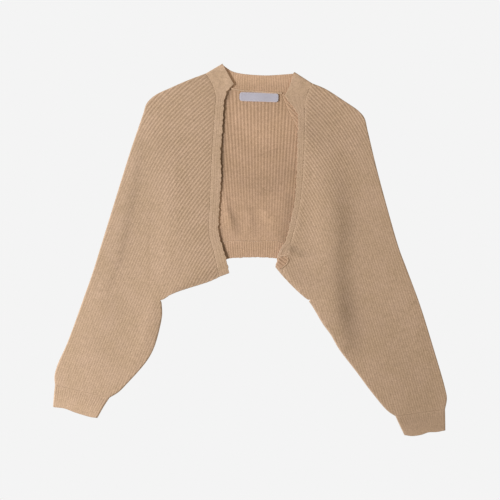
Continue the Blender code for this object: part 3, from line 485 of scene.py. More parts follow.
def wavering(line: Plan, amount: float, first: float = 0.0) -> Plan:
    """A free edge as uneven as knitting ends, with the same end points.

    Args:
        line: the even edge.
        amount: greatest shift to either side.
        first: where along its waves the edge starts.

    Returns:
        The uneven edge.
    """
    along = lengths_along(line)
    wave = sum(share * np.sin((along + first) * math.tau / length + length)
               for length, share in WAVER_PARTS)
    calm = smoothstep(np.minimum(along, along[-1] - along) / WAVER_CALM)
    return line + normals_of(np.gradient(line, axis=0)) * (amount * wave * calm)[:, None]


def stretches(held: Row, least: int) -> list:
    """The unbroken runs of true places in a mask that are at least so many long."""
    parts = np.split(np.arange(len(held)), np.flatnonzero(np.diff(held.astype(int))) + 1)
    return [part for part in parts if held[part[0]] and len(part) >= least]


def crossings(ring: Plan, y: Any) -> tuple:
    """Where each stretch of a closed ring meets a level.

    Args:
        ring: the ring.
        y: the level, or a column of levels.

    Returns:
        Which stretches cross it, and the x where each does.
    """
    start, end = ring, np.roll(ring, -1, axis=0)
    crosses = (start[:, 1] > y) != (end[:, 1] > y)
    rise = np.where(end[:, 1] == start[:, 1], 1.0, end[:, 1] - start[:, 1])
    return crosses, start[:, 0] + (y - start[:, 1]) / rise * (end[:, 0] - start[:, 0])


class Trace:
    """A plan line that answers how far points are from it."""

    def __init__(self, line: Plan) -> None:
        fine = [line[:1]]
        for start, end in zip(line, line[1:]):
            count = max(1, math.ceil(np.linalg.norm(end - start)))
            fine.append(start + (end - start) * (np.arange(1, count + 1)[:, None] / count))
        self.fine = np.vstack(fine)
        self.tree = kdtree.KDTree(len(self.fine))
        for number, (x, y) in enumerate(self.fine):
            self.tree.insert((x, y, 0.0), number)
        self.tree.balance()

    def away(self, points: Plan) -> Row:
        """Distance of each plan point from the line."""
        nearest = np.array([self.tree.find((x, y, 0.0))[1] for x, y in points], dtype=int)
        best = np.full(len(points), np.inf)
        for first in (nearest - 1, nearest):
            first = np.clip(first, 0, len(self.fine) - 2)
            start, span = self.fine[first], self.fine[first + 1] - self.fine[first]
            share = np.einsum("ij,ij->i", points - start, span) / np.einsum("ij,ij->i", span, span)
            foot = start + np.clip(share, 0.0, 1.0)[:, None] * span
            best = np.minimum(best, np.linalg.norm(points - foot, axis=1))
        return best


@dataclass(frozen=True)
class Waves:
    """A level with the soft ridges and troughs over it."""

    swells: tuple
    level: float = 0.0
    base: float = 0.0
    least: float = -1.0
    most: float = 1.0

    def __call__(self, x: Row, y: Row) -> Row:
        """Height at plan points."""
        height = self.base + sum(swell.height(x, y) for swell in self.swells)
        return self.level + np.clip(height, self.least, self.most)


# Faces of the layer that lies on another and of the one on the ground, and the painted light and shade on
# their colour
front_under = Waves(FRONT_SWELLS, FRONT_LOW, LOFT, LOFT_LEAST, LOFT_MOST)
front_top = Waves(FRONT_SWELLS, FRONT_HIGH, LOFT, LOFT_LEAST, LOFT_MOST)
ground_top = Waves(BACK_SWELLS, WALL, 0.0, BACK_LEAST, LOFT_MOST)
front_painted_shading, back_painted_shading = Waves(FRONT_PAINTED_SHADING), Waves(BACK_PAINTED_SHADING)


def ground_under(x: Row, y: Row) -> Row:
    """Underside of a layer on the ground, between its ribs."""
    return np.full_like(x, UNDER_RIB)


def over_front(lift: float, x: Row, y: Row) -> Row:
    """Height at plan points a little over the fronts."""
    return front_top(x, y) + lift


class RibField:
    """Where ribs run: a phase that counts them and a run that measures along them."""

    beside_edges = False

    def phase(self, x: Row, y: Row) -> Row:
        """Number of the rib at plan points, whole on its crest."""
        raise NotImplementedError

    def run(self, x: Row, y: Row) -> Row:
        """Distance along the ribs at plan points."""
        raise NotImplementedError

    def depth(self, x: Row, y: Row) -> Row:
        """Share of the full height, as ribs that stand close together are shallow."""
        here = self.phase(x, y)
        slope = np.hypot(self.phase(x + 1.0, y) - here, self.phase(x, y + 1.0) - here)
        rise = (1.0 / np.maximum(slope, LEAST_SLOPE) - PITCH_FLAT) / (PITCH_FULL - PITCH_FLAT)
        return np.clip(rise, DEPTH_LEAST, DEPTH_MOST) ** DEPTH_POWER

    def lines(self, ring: Plan, shares: int) -> list:
        """Lines along the ribs inside a closed outline.

        Args:
            ring: the outline.
            shares: lines to a rib.

        Returns:
            The lines, cut off at the outline.
        """
        (low_x, low_y), (high_x, high_y) = ring.min(axis=0), ring.max(axis=0)
        xs = np.arange(low_x - TRACE_MARGIN, high_x + TRACE_MARGIN, TRACE_STEP)
        rows = np.arange(low_y + SAME_PLACE, high_y, TRACE_STEP)
        corners = self.phase(np.array([xs[0], xs[0], xs[-1], xs[-1]]),
                             np.array([low_y, high_y, low_y, high_y]))
        levels = np.arange(math.floor(corners.min()), math.ceil(corners.max()) + 1, 1.0 / shares)
        found = np.full((len(levels), len(rows)), np.nan)
        for k, y in enumerate(rows):
            values = self.phase(xs, np.full_like(xs, y))
            order = 1 if values[-1] > values[0] else -1
            at = np.interp(levels, values[::order], xs[::order], left=np.nan, right=np.nan)
            crosses, walls = crossings(ring, y)
            at[np.searchsorted(np.sort(walls[crosses]), at) % 2 == 0] = np.nan
            found[:, k] = at
        return [np.column_stack([row[part], rows[part]])
                for row in found for part in stretches(~np.isnan(row), LINE_LEAST)]


class BentRibs(RibField):
    """Bundles of parallel ribs that run smoothly into each other."""

    def __init__(self, families: tuple, mirror: float) -> None:
        self.mirror = mirror
        self.slopes, self.ways, self.sizes, self.starts = [], [], [], []
        for family in families:
            angle, x, y = math.radians(family.slope_deg), family.joins_x, family.joins_y
            slope = (math.sin(angle) / family.pitch, -math.cos(angle) / family.pitch)
            way = (math.cos(angle), math.sin(angle))
            phases = [a * x + b * y + c for (a, b), c in zip(self.slopes, self.sizes)]
            runs = [a * x + b * y + c for (a, b), c in zip(self.ways, self.starts)]
            before = int(np.argmin(phases)) if phases else None
            self.sizes.append((phases[before] if phases else 0.0) - slope[0] * x - slope[1] * y)
            self.starts.append(runs[before] - way[0] * x - way[1] * y if runs else 0.0)
            self.slopes.append(slope)
            self.ways.append(way)

    def _each(self, rates: list, starts: list, x: Row, y: Row) -> Row:
        """Phases or runs of the single bundles."""
        return np.array([a * x * self.mirror + b * y + c for (a, b), c in zip(rates, starts)])

    def _bundles(self, x: Row, y: Row) -> tuple:
        """The least phase of the bundles and their shares in the blend."""
        values = self._each(self.slopes, self.sizes, x, y)
        least = values.min(axis=0)
        return least, np.exp(-(values - least) / RIB_BLEND)

    def phase(self, x: Row, y: Row) -> Row:
        """Number of the rib, as the soft least of the bundles' own."""
        least, shares = self._bundles(x, y)
        return least - RIB_BLEND * np.log(shares.sum(axis=0))

    def run(self, x: Row, y: Row) -> Row:
        """Distance along the ribs, blended as their phases are."""
        _, shares = self._bundles(x, y)
        return (self._each(self.ways, self.starts, x, y) * shares).sum(axis=0) / shares.sum(axis=0)


@dataclass(frozen=True)
class FannedRibs(RibField):
    """Ribs that spread from a far point, given by the angle from one to the next."""

    centre: tuple
    step_deg: float

    def phase(self, x: Row, y: Row) -> Row:
        """Number of the rib by its angle."""
        across, away = x - self.centre[0], np.abs(y - self.centre[1])
        return np.degrees(np.arctan2(across, away)) / self.step_deg

    def run(self, x: Row, y: Row) -> Row:
        """Distance from the far point."""
        return np.hypot(x - self.centre[0], y - self.centre[1])


class StripRibs(RibField):
    """Ribs along a strip, shared out evenly between its two edges."""

    beside_edges = True

    def __init__(self, seam: Plan, free: Plan, count: int) -> None:
        self.seam, self.free, self.count = seam, free, count
        self.seam_trace, self.free_trace = Trace(seam), Trace(free)

    def phase(self, x: Row, y: Row) -> Row:
        """Number of the rib by the share of the way across."""
        points = np.column_stack([x, y])
        from_seam, from_free = self.seam_trace.away(points), self.free_trace.away(points)
        return self.count * from_seam / np.maximum(from_seam + from_free, SAME_PLACE)

    def run(self, x: Row, y: Row) -> Row:
        """Distance up the strip."""
        return y

    def depth(self, x: Row, y: Row) -> Row:
        """Full height all over the strip."""
        return np.ones_like(x)

    def lines(self, ring: Plan, shares: int) -> list:
        """Lines from rail to rail, see the base class."""
        total = self.count * shares
        samples = max(len(self.seam), len(self.free))
        first, second = resample(self.seam, samples), resample(self.free, samples)
        return [first * (1.0 - k / total) + second * (k / total) for k in range(1, total)]


@dataclass
class Edge:
    """One stretch of a layer's outline, from corner to corner."""

    points: Plan
    ends: Ends = Ends.HEM


@dataclass(frozen=True)
class Ribbing:
    """How one face of a layer is ribbed.

    shares is the number of lines to a rib and step the distance of points on them. window is
    the part of the plan that shows its ribs, as lowest and highest x and y.
    """

    ribs: RibField
    shares: int = 8
    step: float = 6.0
    depth: float = 1.0
    window: tuple | None = None

    def shown(self, x: Row, y: Row) -> Row:
        """Share of the ribs' height at plan points, 0 outside the window."""
        if self.window is None:
            return np.full_like(x, self.depth)
        low_x, high_x, low_y, high_y = self.window
        within = np.minimum.reduce([x - low_x, high_x - x, y - low_y, high_y - y])
        return self.depth * smoothstep(within / GRID_STEP)


@dataclass
class Layer:
    """One thickness of cloth in plan, with the heights of its two faces.

    on_top says that the layer is the upper one of those that its folds join, inside_up that
    it shows the inside of the cloth from above.
    """

    edges: list
    lower: Height
    upper: Height
    on_top: bool = False
    top_ribs: Ribbing | None = None
    under_ribs: Ribbing | None = None
    inside_up: bool = False

    def drawn_in(self) -> list:
        """Points of each edge, with seam edges moved half a furrow into the cloth."""
        ring = np.vstack([edge.points[:-1] for edge in self.edges])
        normals = normals_of(np.roll(ring, -1, axis=0) - ring) * turn_of(ring)
        depth = np.concatenate([[SEAM_HALF_GAP * (edge.ends is Ends.SEAM)] * (len(edge.points) - 1)
                                for edge in self.edges])
        moved = ring.copy()
        for i in range(len(ring)):
            pair = np.array([normals[i - 1], normals[i]])
            if abs(np.linalg.det(pair)) > LEAST_TURN:
                moved[i] += np.linalg.solve(pair, np.array([depth[i - 1], depth[i]]))
            else:
                moved[i] += unit(pair.sum(axis=0)) * max(depth[i - 1], depth[i])
        result, start = [], 0
        for edge in self.edges:
            stop = start + len(edge.points) - 1
            result.append(np.vstack([moved[start:stop], moved[stop % len(ring)]]))
            start = stop
        return result


def ground_layer(edges: list, height: float, ribs: RibField, top: Ribbing | None = None,
                 under_step: float = 10.0) -> Layer:
    """A layer on the ground that lies inside up and has shallow ribs below.

    Args:
        edges: its outline.
        height: rise of the piece's full ribs.
        ribs: where its ribs run.
        top: the ribbing of its upper face, if that shows.
        under_step: distance of points on the rib lines below.

    Returns:
        The layer.
    """
    return Layer(edges, ground_under, ground_top, inside_up=True, top_ribs=top,
                 under_ribs=Ribbing(ribs, UNDER_SHARES, under_step, UNDER_RISE / height))


def away_from(traces: list, points: Plan) -> Row:
    """Least distance of each point from several lines."""
    if not traces:
        return np.full(len(points), np.inf)
    return np.min([trace.away(points) for trace in traces], axis=0)


def round_off(share: Row) -> Row:
    """Height of a quarter round at a share of its width."""
    return np.sqrt(1.0 - (1.0 - np.minimum(share, 1.0)) ** 2)


class Face:
    """One face of a layer: its plan lines, its heights and its triangles."""

    def __init__(self, layer: Layer, top: bool) -> None:
        self.layer, self.top = layer, top
        self.ribbing = layer.top_ribs if top else layer.under_ribs
        start = 0.0 if top == layer.on_top else WALL
        self.radius = FOLD_ROUND - start
        self.steps = [start + self.radius * (1.0 - math.cos(math.radians(a))) for a in FOLD_ANGLES]
        self.outline, self.rings, self.rims = [], [], []
        self.traces = {ends: [] for ends in Ends}
        self._lay_out()
        self.ring = np.vstack([line[:-1] for line in self.outline])
        self.rim_traces = self.traces[Ends.SEAM] + self.traces[Ends.HEM]

    def _lay_out(self) -> None:
        """Finds the outline, the rings round the folds and the rims of this face."""
        lines, edges = self.layer.drawn_in(), self.layer.edges
        turn = turn_of(np.vstack([line[:-1] for line in lines]))
        for i, edge in enumerate(edges):
            points, follows = lines[i], (i + 1) % len(lines)
            before, after = lines[i - 1], lines[follows]
            if edge.ends is Ends.FOLD:
                normals = normals_of(np.diff(points, axis=0)) * turn
                inward = np.vstack([unit(before[-2] - before[-1]), unit(normals[:-1] + normals[1:]),
                                    unit(after[1] - after[0])])
                line, *rings = [points + inward * step for step in self.steps]
                self.rings.extend(rings)
            else:
                rim = list(points)
                if edges[i - 1].ends is Ends.FOLD:
                    way = unit(points[1] - points[0])
                    rim[0:1] = [points[0] + way * step for step in self.steps]
                if edges[follows].ends is Ends.FOLD:
                    way = unit(points[-2] - points[-1])
                    rim[-1:] = [points[-1] + way * step for step in reversed(self.steps)]
                line = np.array(rim)
                self.rims.append(line)
            self.outline.append(line)
            self.traces[edge.ends].append(Trace(line))

    def heights(self, points: Plan) -> Row:
        """Heights of plan points on the face, drawn in at rims and folds."""
        x, y = points[:, 0], points[:, 1]
        low, high = self.layer.lower(x, y), self.layer.upper(x, y)
        middle, height = (low + high) / 2, high if self.top else low
        for ends, reach, floor in ((Ends.HEM, EDGE_ROUND, EDGE_FLOOR), (Ends.SEAM, SEAM_ROUND, SEAM_FLOOR)):
            rise = round_off(away_from(self.traces[ends], points) / reach)
            height = middle + (height - middle) * (floor + (1.0 - floor) * rise)
        for trace in self.traces[Ends.FOLD]:
            height = FOLD_MIDDLE + (height - FOLD_MIDDLE) * round_off(trace.away(points) / self.radius)
        return height

    def _rib_lines(self) -> list:
        """Rib lines inside the face, thinned out and kept clear of its edges."""
        kept = []
        turns = np.array([line[0] for line in self.outline])
        for line in self.ribbing.ribs.lines(self.ring, self.ribbing.shares):
            if self.ribbing.window is not None:
                shown = np.flatnonzero(self.ribbing.shown(line[:, 0], line[:, 1]) > 0.0)
                if len(shown) < LINE_LEAST:
                    continue
                line = line[shown[0]:shown[-1] + 1]
            length = lengths_along(line)[-1]
            if length < LINE_LEAST * FINE_LINE:
                continue
            fine = resample(line, max(LINE_LEAST, round(length / FINE_LINE)))
            ends = np.full(len(fine), self.ribbing.ribs.beside_edges)
            reach = round(LINE_END / FINE_LINE)
            ends[:reach] = ends[-reach:] = True
            ends |= np.linalg.norm(fine[:, None] - turns[None], axis=2).min(axis=1) < LINE_END
            clear = np.ones(len(fine), dtype=bool)
            clear[ends] = away_from(self.rim_traces, fine[ends]) > CLEAR_OF_EDGE
            clear[ends] &= away_from(self.traces[Ends.FOLD], fine[ends]) > CLEAR_OF_FOLD
            for part in stretches(clear, LINE_LEAST + 1):
                count = math.ceil(lengths_along(fine[part])[-1] / self.ribbing.step) + 1
                kept.append(resample(fine[part], max(2, count)))
        return kept

    def _free_points(self) -> Plan:
        """Points along the rims and, where there are no ribs, all over the face."""
        found = []
        for line in self.rims:
            normals = normals_of(np.diff(line, axis=0)) * turn_of(self.ring)
            middle = unit(normals[:-1] + normals[1:])
            for inset in EDGE_INSETS:
                moved = line[1:-1] + middle * inset
                clear = away_from(self.rim_traces, moved) > INSET_SPARE * inset
                clear &= away_from(self.traces[Ends.FOLD], moved) > CLEAR_OF_FOLD
                found.append(moved[clear])
        (low_x, low_y), (high_x, high_y) = self.ring.min(axis=0), self.ring.max(axis=0)
        xs, ys = np.meshgrid(np.arange(low_x, high_x, GRID_STEP),
                             np.arange(low_y, high_y, GRID_STEP * GRID_ROWS))
        xs[1::2] += GRID_STEP / 2
        grid = np.column_stack([xs.ravel(), ys.ravel()])
        if self.ribbing is not None:
            grid = grid[self.ribbing.shown(grid[:, 0], grid[:, 1]) <= 0.0]
        if len(grid):
            crosses, walls = crossings(self.ring, grid[:, 1:2])
            grid = grid[(crosses & (grid[:, 0:1] < walls)).sum(axis=1) % 2 == 1]
        if len(grid):
            found.append(grid[away_from(self.rim_traces + self.traces[Ends.FOLD], grid) > 2 * FOLD_ROUND])
        return np.vstack(found)

    def triangles(self) -> tuple:
        """Fills the face.

        Returns:
            Points in space, triangles as numbers of points, and the points' ATTRIBUTES.
        """
        plan, exact, edges, known = [], [], [], {}
        lines = self.outline + self.rings
        if self.ribbing is not None:
            lines += self._rib_lines()
        for line in [*lines, *self._free_points()[:, None, :]]:
            numbers = []
            for x, y in line:
                key = (round(float(x), PLAN_DIGITS), round(float(y), PLAN_DIGITS))
                if key not in known:
                    known[key] = len(plan)
                    plan.append(Vector((float(x), float(y))))
                    exact.append((float(x), float(y)))
                numbers.append(known[key])
            edges.extend((a, b) for a, b in zip(numbers, numbers[1:]) if a != b)
        found, _, faces, origins, _, _ = geometry.delaunay_2d_cdt(plan, edges, [], FILL_INSIDE, SAME_PLACE)
        corners = np.array([exact[origin[0]] if origin else tuple(corner)
                            for corner, origin in zip(found, origins)])
        numbers = np.array(faces, dtype=int)[:, ::1 if self.top else -1]
        return np.column_stack([corners, self.heights(corners)]), numbers, self.rib_values(corners)

    def rib_values(self, corners: Plan) -> np.ndarray:
        """ATTRIBUTES at plan points, one row each."""
        x, y = corners[:, 0], corners[:, 1]
        turned = np.full(len(x), float(self.layer.inside_up == self.top))
        phase, run, share, painted_shading = np.zeros((4, len(x)))
        # Painted light and shade, on the top faces only
        if self.top:
            painted_shading = (back_painted_shading if self.layer.inside_up else front_painted_shading)(x, y)
        if self.ribbing is not None:
            ribs = self.ribbing.ribs
            fade = smoothstep(away_from(self.traces[Ends.SEAM], corners) / FADE_SEAM)
            fade = fade * smoothstep(away_from(self.traces[Ends.FOLD], corners) / FADE_FOLD)
            share = self.ribbing.shown(x, y) * fade * (ribs.depth(x, y) if self.top else 1.0)
            phase, run = ribs.phase(x, y), ribs.run(x, y)
        return np.array([phase, run, share, turned, painted_shading])


def placed(name: str, data: Any) -> Object:
    """An object of a mesh, lamp or camera, linked into the scene."""
    item = bpy.data.objects.new(name, data)
    bpy.context.scene.collection.objects.link(item)
    return item


def new_mesh(name: str, points: np.ndarray, edges: list, faces: list) -> Mesh:
    """A mesh in metres and in the model's frame, from points in plan millimetres."""
    mesh = bpy.data.meshes.new(name)
    mesh.from_pydata((points - (*PLAN_CENTRE, 0.0)) * MM, edges, faces)
    return mesh


def turned_out(mesh: Mesh) -> int:
    """Turns the faces of a mesh outwards, smooths them and counts its open edges."""
    work = bmesh.new()
    work.from_mesh(mesh)
    open_edges = sum(len(edge.link_faces) != 2 for edge in work.edges)
    bmesh.ops.recalc_face_normals(work, faces=work.faces)
    work.to_mesh(mesh)
    work.free()
    mesh.shade_smooth()
    return open_edges


def note_values(mesh: Mesh, titles: tuple, rows: np.ndarray) -> None:
    """Writes rows of numbers on a mesh's points as named attributes."""
    for title, row in zip(titles, rows):
        mesh.attributes.new(title, "FLOAT", "POINT").data.foreach_set("value", row)


class Shell:
    """The closed shell of one cloth piece, gathered layer by layer."""

    def __init__(self, *layers: Layer) -> None:
        self.points, self.values, self.faces, self.total = [], [], [], 0
        for layer in layers:
            self._add_layer(layer)

    def _add(self, points: np.ndarray, faces: np.ndarray, values: np.ndarray) -> None:
        """Adds points with their rib values, and faces among them."""
        self.points.append(points)
        self.values.append(values)
        self.faces.append(faces + self.total)
        self.total += len(points)

    def _add_layer(self, layer: Layer) -> None:
        """Adds both faces of a layer and the rims between them."""
        low, high = Face(layer, False), Face(layer, True)
        for face in (low, high):
            self._add(*face.triangles())
        for rims in zip(low.rims, high.rims):
            both = list(zip((low, high), rims))
            points = np.vstack([np.column_stack([rim, face.heights(rim)]) for face, rim in both])
            count = len(rims[0])
            k = np.arange(count - 1)
            faces = np.vstack([np.column_stack([k, k + 1, k + 1 + count]),
                               np.column_stack([k, k + 1 + count, k + count])])
            self._add(points, faces, np.hstack([face.rib_values(rim) for face, rim in both]))

    def make(self, name: str) -> Object:
        """The shell as a mesh object with its ATTRIBUTES."""
        points = np.round(np.vstack(self.points), POINT_DIGITS)
        points, first, number = np.unique(points, axis=0, return_index=True, return_inverse=True)
        faces = number.reshape(-1)[np.vstack(self.faces)]
        whole = (faces[:, 0] != faces[:, 1]) & (faces[:, 1] != faces[:, 2]) & (faces[:, 0] != faces[:, 2])
        mesh = new_mesh(name, points, [], faces[whole].tolist())
        open_edges = turned_out(mesh)
        note_values(mesh, ATTRIBUTES, np.hstack(self.values)[:, first])
        log.info("%s: %d triangles, %d open edges", name, int(whole.sum()), open_edges)
        return placed(name, mesh)


def sum_of(operation: str, turned: bool = False) -> Callable:
    """An operator between a wire and a wire or number, which adds a Math node."""
    def operator(self: "Wire", other: Any) -> "Wire":
        """The result as a wire."""
        return self.board.math(operation, *((other, self) if turned else (self, other)))
    return operator


class Wire:
    """An output socket that takes part in plain sums, each of which adds a node."""

    __add__ = __radd__ = sum_of("ADD")
    __sub__, __rsub__ = sum_of("SUBTRACT"), sum_of("SUBTRACT", turned=True)
    __mul__ = __rmul__ = sum_of("MULTIPLY")
    __truediv__, __pow__ = sum_of("DIVIDE"), sum_of("POWER")

    def __init__(self, board: "Board", socket: bpy.types.NodeSocket) -> None:
        self.board, self.socket = board, socket


class Noise(NamedTuple):
    """A noise: how many waves it has to a unit, its detail and its roughness."""

    scale: float
    detail: float
    roughness: float = 0.5


# Noises of the ribs' height, of the stitches, of patches, yarn tones, fibres and strands, and
# of the label's tape
RIB_NOISE, STITCH_NOISE, PATCH_NOISE = Noise(95, 2), Noise(160, 1), Noise(26, 3, 0.55)
HEATHER_NOISE, FIBRE_NOISE = Noise(420, 4, 0.7), Noise(1500, 3, 0.6)
STRAND_NOISE, TAPE_NOISE = Noise(1, 2, 0.6), Noise(350, 2)


class Board:
    """A node tree that is being wired."""

    def __init__(self, tree: bpy.types.NodeTree) -> None:
        self.tree = tree
        tree.nodes.clear()

    def node(self, kind: str, settings: dict | None = None, inputs: dict | None = None) -> bpy.types.Node:
        """Adds a node.

        Args:
            kind: Blender's name of the node type.
            settings: its properties, which are set first.
            inputs: values or wires by socket name or number.

        Returns:
            The node.
        """
        made = self.tree.nodes.new(kind)
        for name, value in (settings or {}).items():
            setattr(made, name, value)
        for name, value in (inputs or {}).items():
            if isinstance(value, Wire):
                self.tree.links.new(value.socket, made.inputs[name])
            else:
                made.inputs[name].default_value = value
        return made

    def wire(self, kind: str, output: str | int, settings: dict | None = None,
             inputs: dict | None = None) -> Wire:
        """Adds a node and hands on one of its outputs, see node."""
        return Wire(self, self.node(kind, settings, inputs).outputs[output])

    def math(self, operation: str, *values: Any) -> Wire:
        """Adds a Math node on the values."""
        return self.wire("ShaderNodeMath", 0, {"operation": operation}, dict(enumerate(values)))

    def swing(self, kind: str, turns: Wire) -> Wire:
        """Sine or cosine of a number of turns, brought between 0 and 1."""
        return self.math(kind, turns * math.tau) * 0.5 + 0.5

    def vector(self, **parts: Any) -> Wire:
        """Joins numbers to a vector, of which the parts not named are 0."""
        return self.wire("ShaderNodeCombineXYZ", 0, inputs=parts)

    def noise(self, place: Wire, kind: Noise) -> Wire:
        """Adds a noise between 0 and 1."""
        return self.wire("ShaderNodeTexNoise", "Fac", inputs={
            "Vector": place, "Scale": kind.scale, "Detail": kind.detail, "Roughness": kind.roughness})

    def attribute(self, name: str) -> Wire:
        """Number that the shaded surface carries under a name."""
        return self.wire("ShaderNodeAttribute", "Fac", {"attribute_name": name})

    def blend(self, share: Any, first: Any, second: Any, kind: str = "MIX") -> Wire:
        """Adds a colour mix, from first to second as share goes from 0 to 1."""
        return self.wire("ShaderNodeMix", 2, {"data_type": "RGBA", "blend_type": kind},
                         {0: share, 6: first, 7: second})

    def toned(self, colour: Wire, tone: Wire, blue: Wire) -> Wire:
        """A colour times a tone, whose blue part is given apart."""
        grey = self.wire("ShaderNodeCombineColor", 0, inputs={0: tone, 1: tone, 2: blue})
        return self.blend(1.0, colour, grey, "MULTIPLY")

    def surface(self, kind: str, inputs: dict) -> None:
        """Ends a material in a shader."""
        self.node("ShaderNodeOutputMaterial", inputs={0: self.wire(kind, 0, inputs=inputs)})


class Tree:
    """A Geometry Nodes tree with named inputs and a material, run on pieces."""

    def __init__(self, name: str, *inputs: str) -> None:
        self.tree = bpy.data.node_groups.new(name, "GeometryNodeTree")
        self.board = Board(self.tree)
        kinds = {**dict.fromkeys(inputs, "NodeSocketFloat"), "Material": "NodeSocketMaterial"}
        faces = self.tree.interface
        faces.new_socket("Geometry", in_out="INPUT", socket_type="NodeSocketGeometry")
        self.known = {title: faces.new_socket(title, in_out="INPUT", socket_type=kind).identifier
                      for title, kind in kinds.items()}
        faces.new_socket("Geometry", in_out="OUTPUT", socket_type="NodeSocketGeometry")
        start = self.board.node("NodeGroupInput")
        self.given = {socket.name: Wire(self.board, socket) for socket in start.outputs if socket.name}

    def end(self, shape: Wire) -> None:
        """Ends the tree in real meshes with their material."""
        real = self.board.wire("GeometryNodeRealizeInstances", 0, inputs={0: shape})
        dressed = self.board.wire("GeometryNodeSetMaterial", 0,
                                  inputs={"Geometry": real, "Material": self.given["Material"]})
        self.board.node("NodeGroupOutput", inputs={0: dressed})

    def applied(self, item: Object, values: dict) -> Object:
        """Runs the tree on an object and leaves the result as its plain mesh.

        Args:
            item: the object.
            values: the tree's inputs by name.

        Returns:
            The same object.
        """
        modifier = item.modifiers.new(self.tree.name, "NODES")
        modifier.node_group = self.tree
        for title, value in values.items():
            modifier[self.known[title]] = value
        bpy.context.view_layer.update()
        seen = bpy.context.evaluated_depsgraph_get()
        mesh = bpy.data.meshes.new_from_object(item.evaluated_get(seen), preserve_all_data_layers=True,
                                               depsgraph=seen)
        item.modifiers.clear()
        old, item.data = item.data, mesh
        bpy.data.meshes.remove(old)
        mesh.name = item.name
        return item


class RibRelief(Tree):
    """Raises the ribs out of a piece along its rib attributes."""

    def __init__(self) -> None:
        super().__init__("rib_relief", "Rib Height", "Sharpness", "Unevenness")
        board, given = self.board, self.given
        phase, share = (board.wire("GeometryNodeInputNamedAttribute", 0, {"data_type": "FLOAT"},
                                   {"Name": name}) for name in ("rib_phase", "rib_share"))
        rib = board.swing("COSINE", phase) ** given["Sharpness"]
        noise = board.noise(board.wire("GeometryNodeInputPosition", 0), RIB_NOISE)
        rise = (rib * given["Rib Height"] + (noise - 0.5) * given["Unevenness"]) * share
        normal = board.wire("GeometryNodeInputNormal", 0)
        offset = board.wire("ShaderNodeVectorMath", 0, {"operation": "SCALE"}, {0: normal, "Scale": rise})
        self.end(board.wire("GeometryNodeSetPosition", 0,
                            inputs={"Geometry": given["Geometry"], "Offset": offset}))

    def raise_ribs(self, item: Object, height: float, material: Material,
                   sharpness: float = 1.2, unevenness: float = 0.35) -> Object:
        """Raises the ribs of a piece.

        Args:
            item: the piece with its rib attributes.
            height: rise of a crest over a valley, in millimetres.
            material: the cloth's material.
            sharpness: how much narrower crests are than valleys, from 1.
            unevenness: how much ribs waver in height, in millimetres.

        Returns:
            The piece.
        """
        return self.applied(item, {"Rib Height": height * MM, "Sharpness": sharpness,
                                   "Unevenness": unevenness * MM, "Material": material})


@dataclass(frozen=True)
class Stitch:
    """Sizes of a row of slanted stitches, and how far the row lies over its face."""

    pitch: float
    length: float
    yarn: float
    slant_deg: float
    spread: float
    lift: float


class Stitching(Tree):
    """Sets slanted pairs of stitches along a line."""

    def __init__(self) -> None:
        super().__init__("stitching", "Pitch", "Length", "Thickness", "Slant", "Spread")
        board, given = self.board, self.given
        curve = board.wire("GeometryNodeMeshToCurve", 0, inputs={"Mesh": given["Geometry"]})
        spots = board.node("GeometryNodeCurveToPoints", {"mode": "LENGTH"},
                           {"Curve": curve, "Length": given["Pitch"]})
        ball = board.wire("GeometryNodeMeshUVSphere", 0, inputs={"Segments": 6, "Rings": 5, "Radius": 0.5})
        scale = board.vector(X=given["Length"], Y=given["Thickness"], Z=given["Thickness"])
        gather = board.node("GeometryNodeJoinGeometry")
        for side in (1.0, -1.0):
            grain = board.wire("GeometryNodeTransform", 0, inputs={"Geometry": ball, "Scale": scale})
            grain = board.wire("GeometryNodeTransform", 0, inputs={
                "Geometry": grain, "Rotation": board.vector(Z=given["Slant"] * side),
                "Translation": board.vector(Y=given["Spread"] * side)})
            board.tree.links.new(grain.socket, gather.inputs[0])
        facing = board.wire("FunctionNodeAlignRotationToVector", 0, {"axis": "X"},
                            {"Vector": Wire(board, spots.outputs["Tangent"])})
        self.end(board.wire("GeometryNodeInstanceOnPoints", 0, inputs={
            "Points": Wire(board, spots.outputs["Points"]),
            "Instance": Wire(board, gather.outputs[0]), "Rotation": facing}))

    def sew(self, name: str, line: np.ndarray, stitch: Stitch, material: Material) -> Object:
        """Sews along a line.

        Args:
            name: the piece's name.
            line: points in space, in plan millimetres.
            stitch: the sizes of the stitches.
            material: the yarn's material.

        Returns:
            The stitches as one object.
        """
        item = placed(name, new_mesh(name, line, [(k, k + 1) for k in range(len(line) - 1)], []))
        self.applied(item, {
            "Pitch": stitch.pitch * MM, "Length": stitch.length * MM, "Thickness": stitch.yarn * MM,
            "Spread": stitch.spread * MM, "Slant": math.radians(stitch.slant_deg), "Material": material})
        item.data.shade_smooth()
        log.info("%s: %d triangles", name, len(item.data.polygons))
        return item


def start_material(name: str) -> tuple:
    """A new material and the board of its nodes."""
    material = bpy.data.materials.new(name)
    material.use_nodes = True
    return material, Board(material.node_tree)


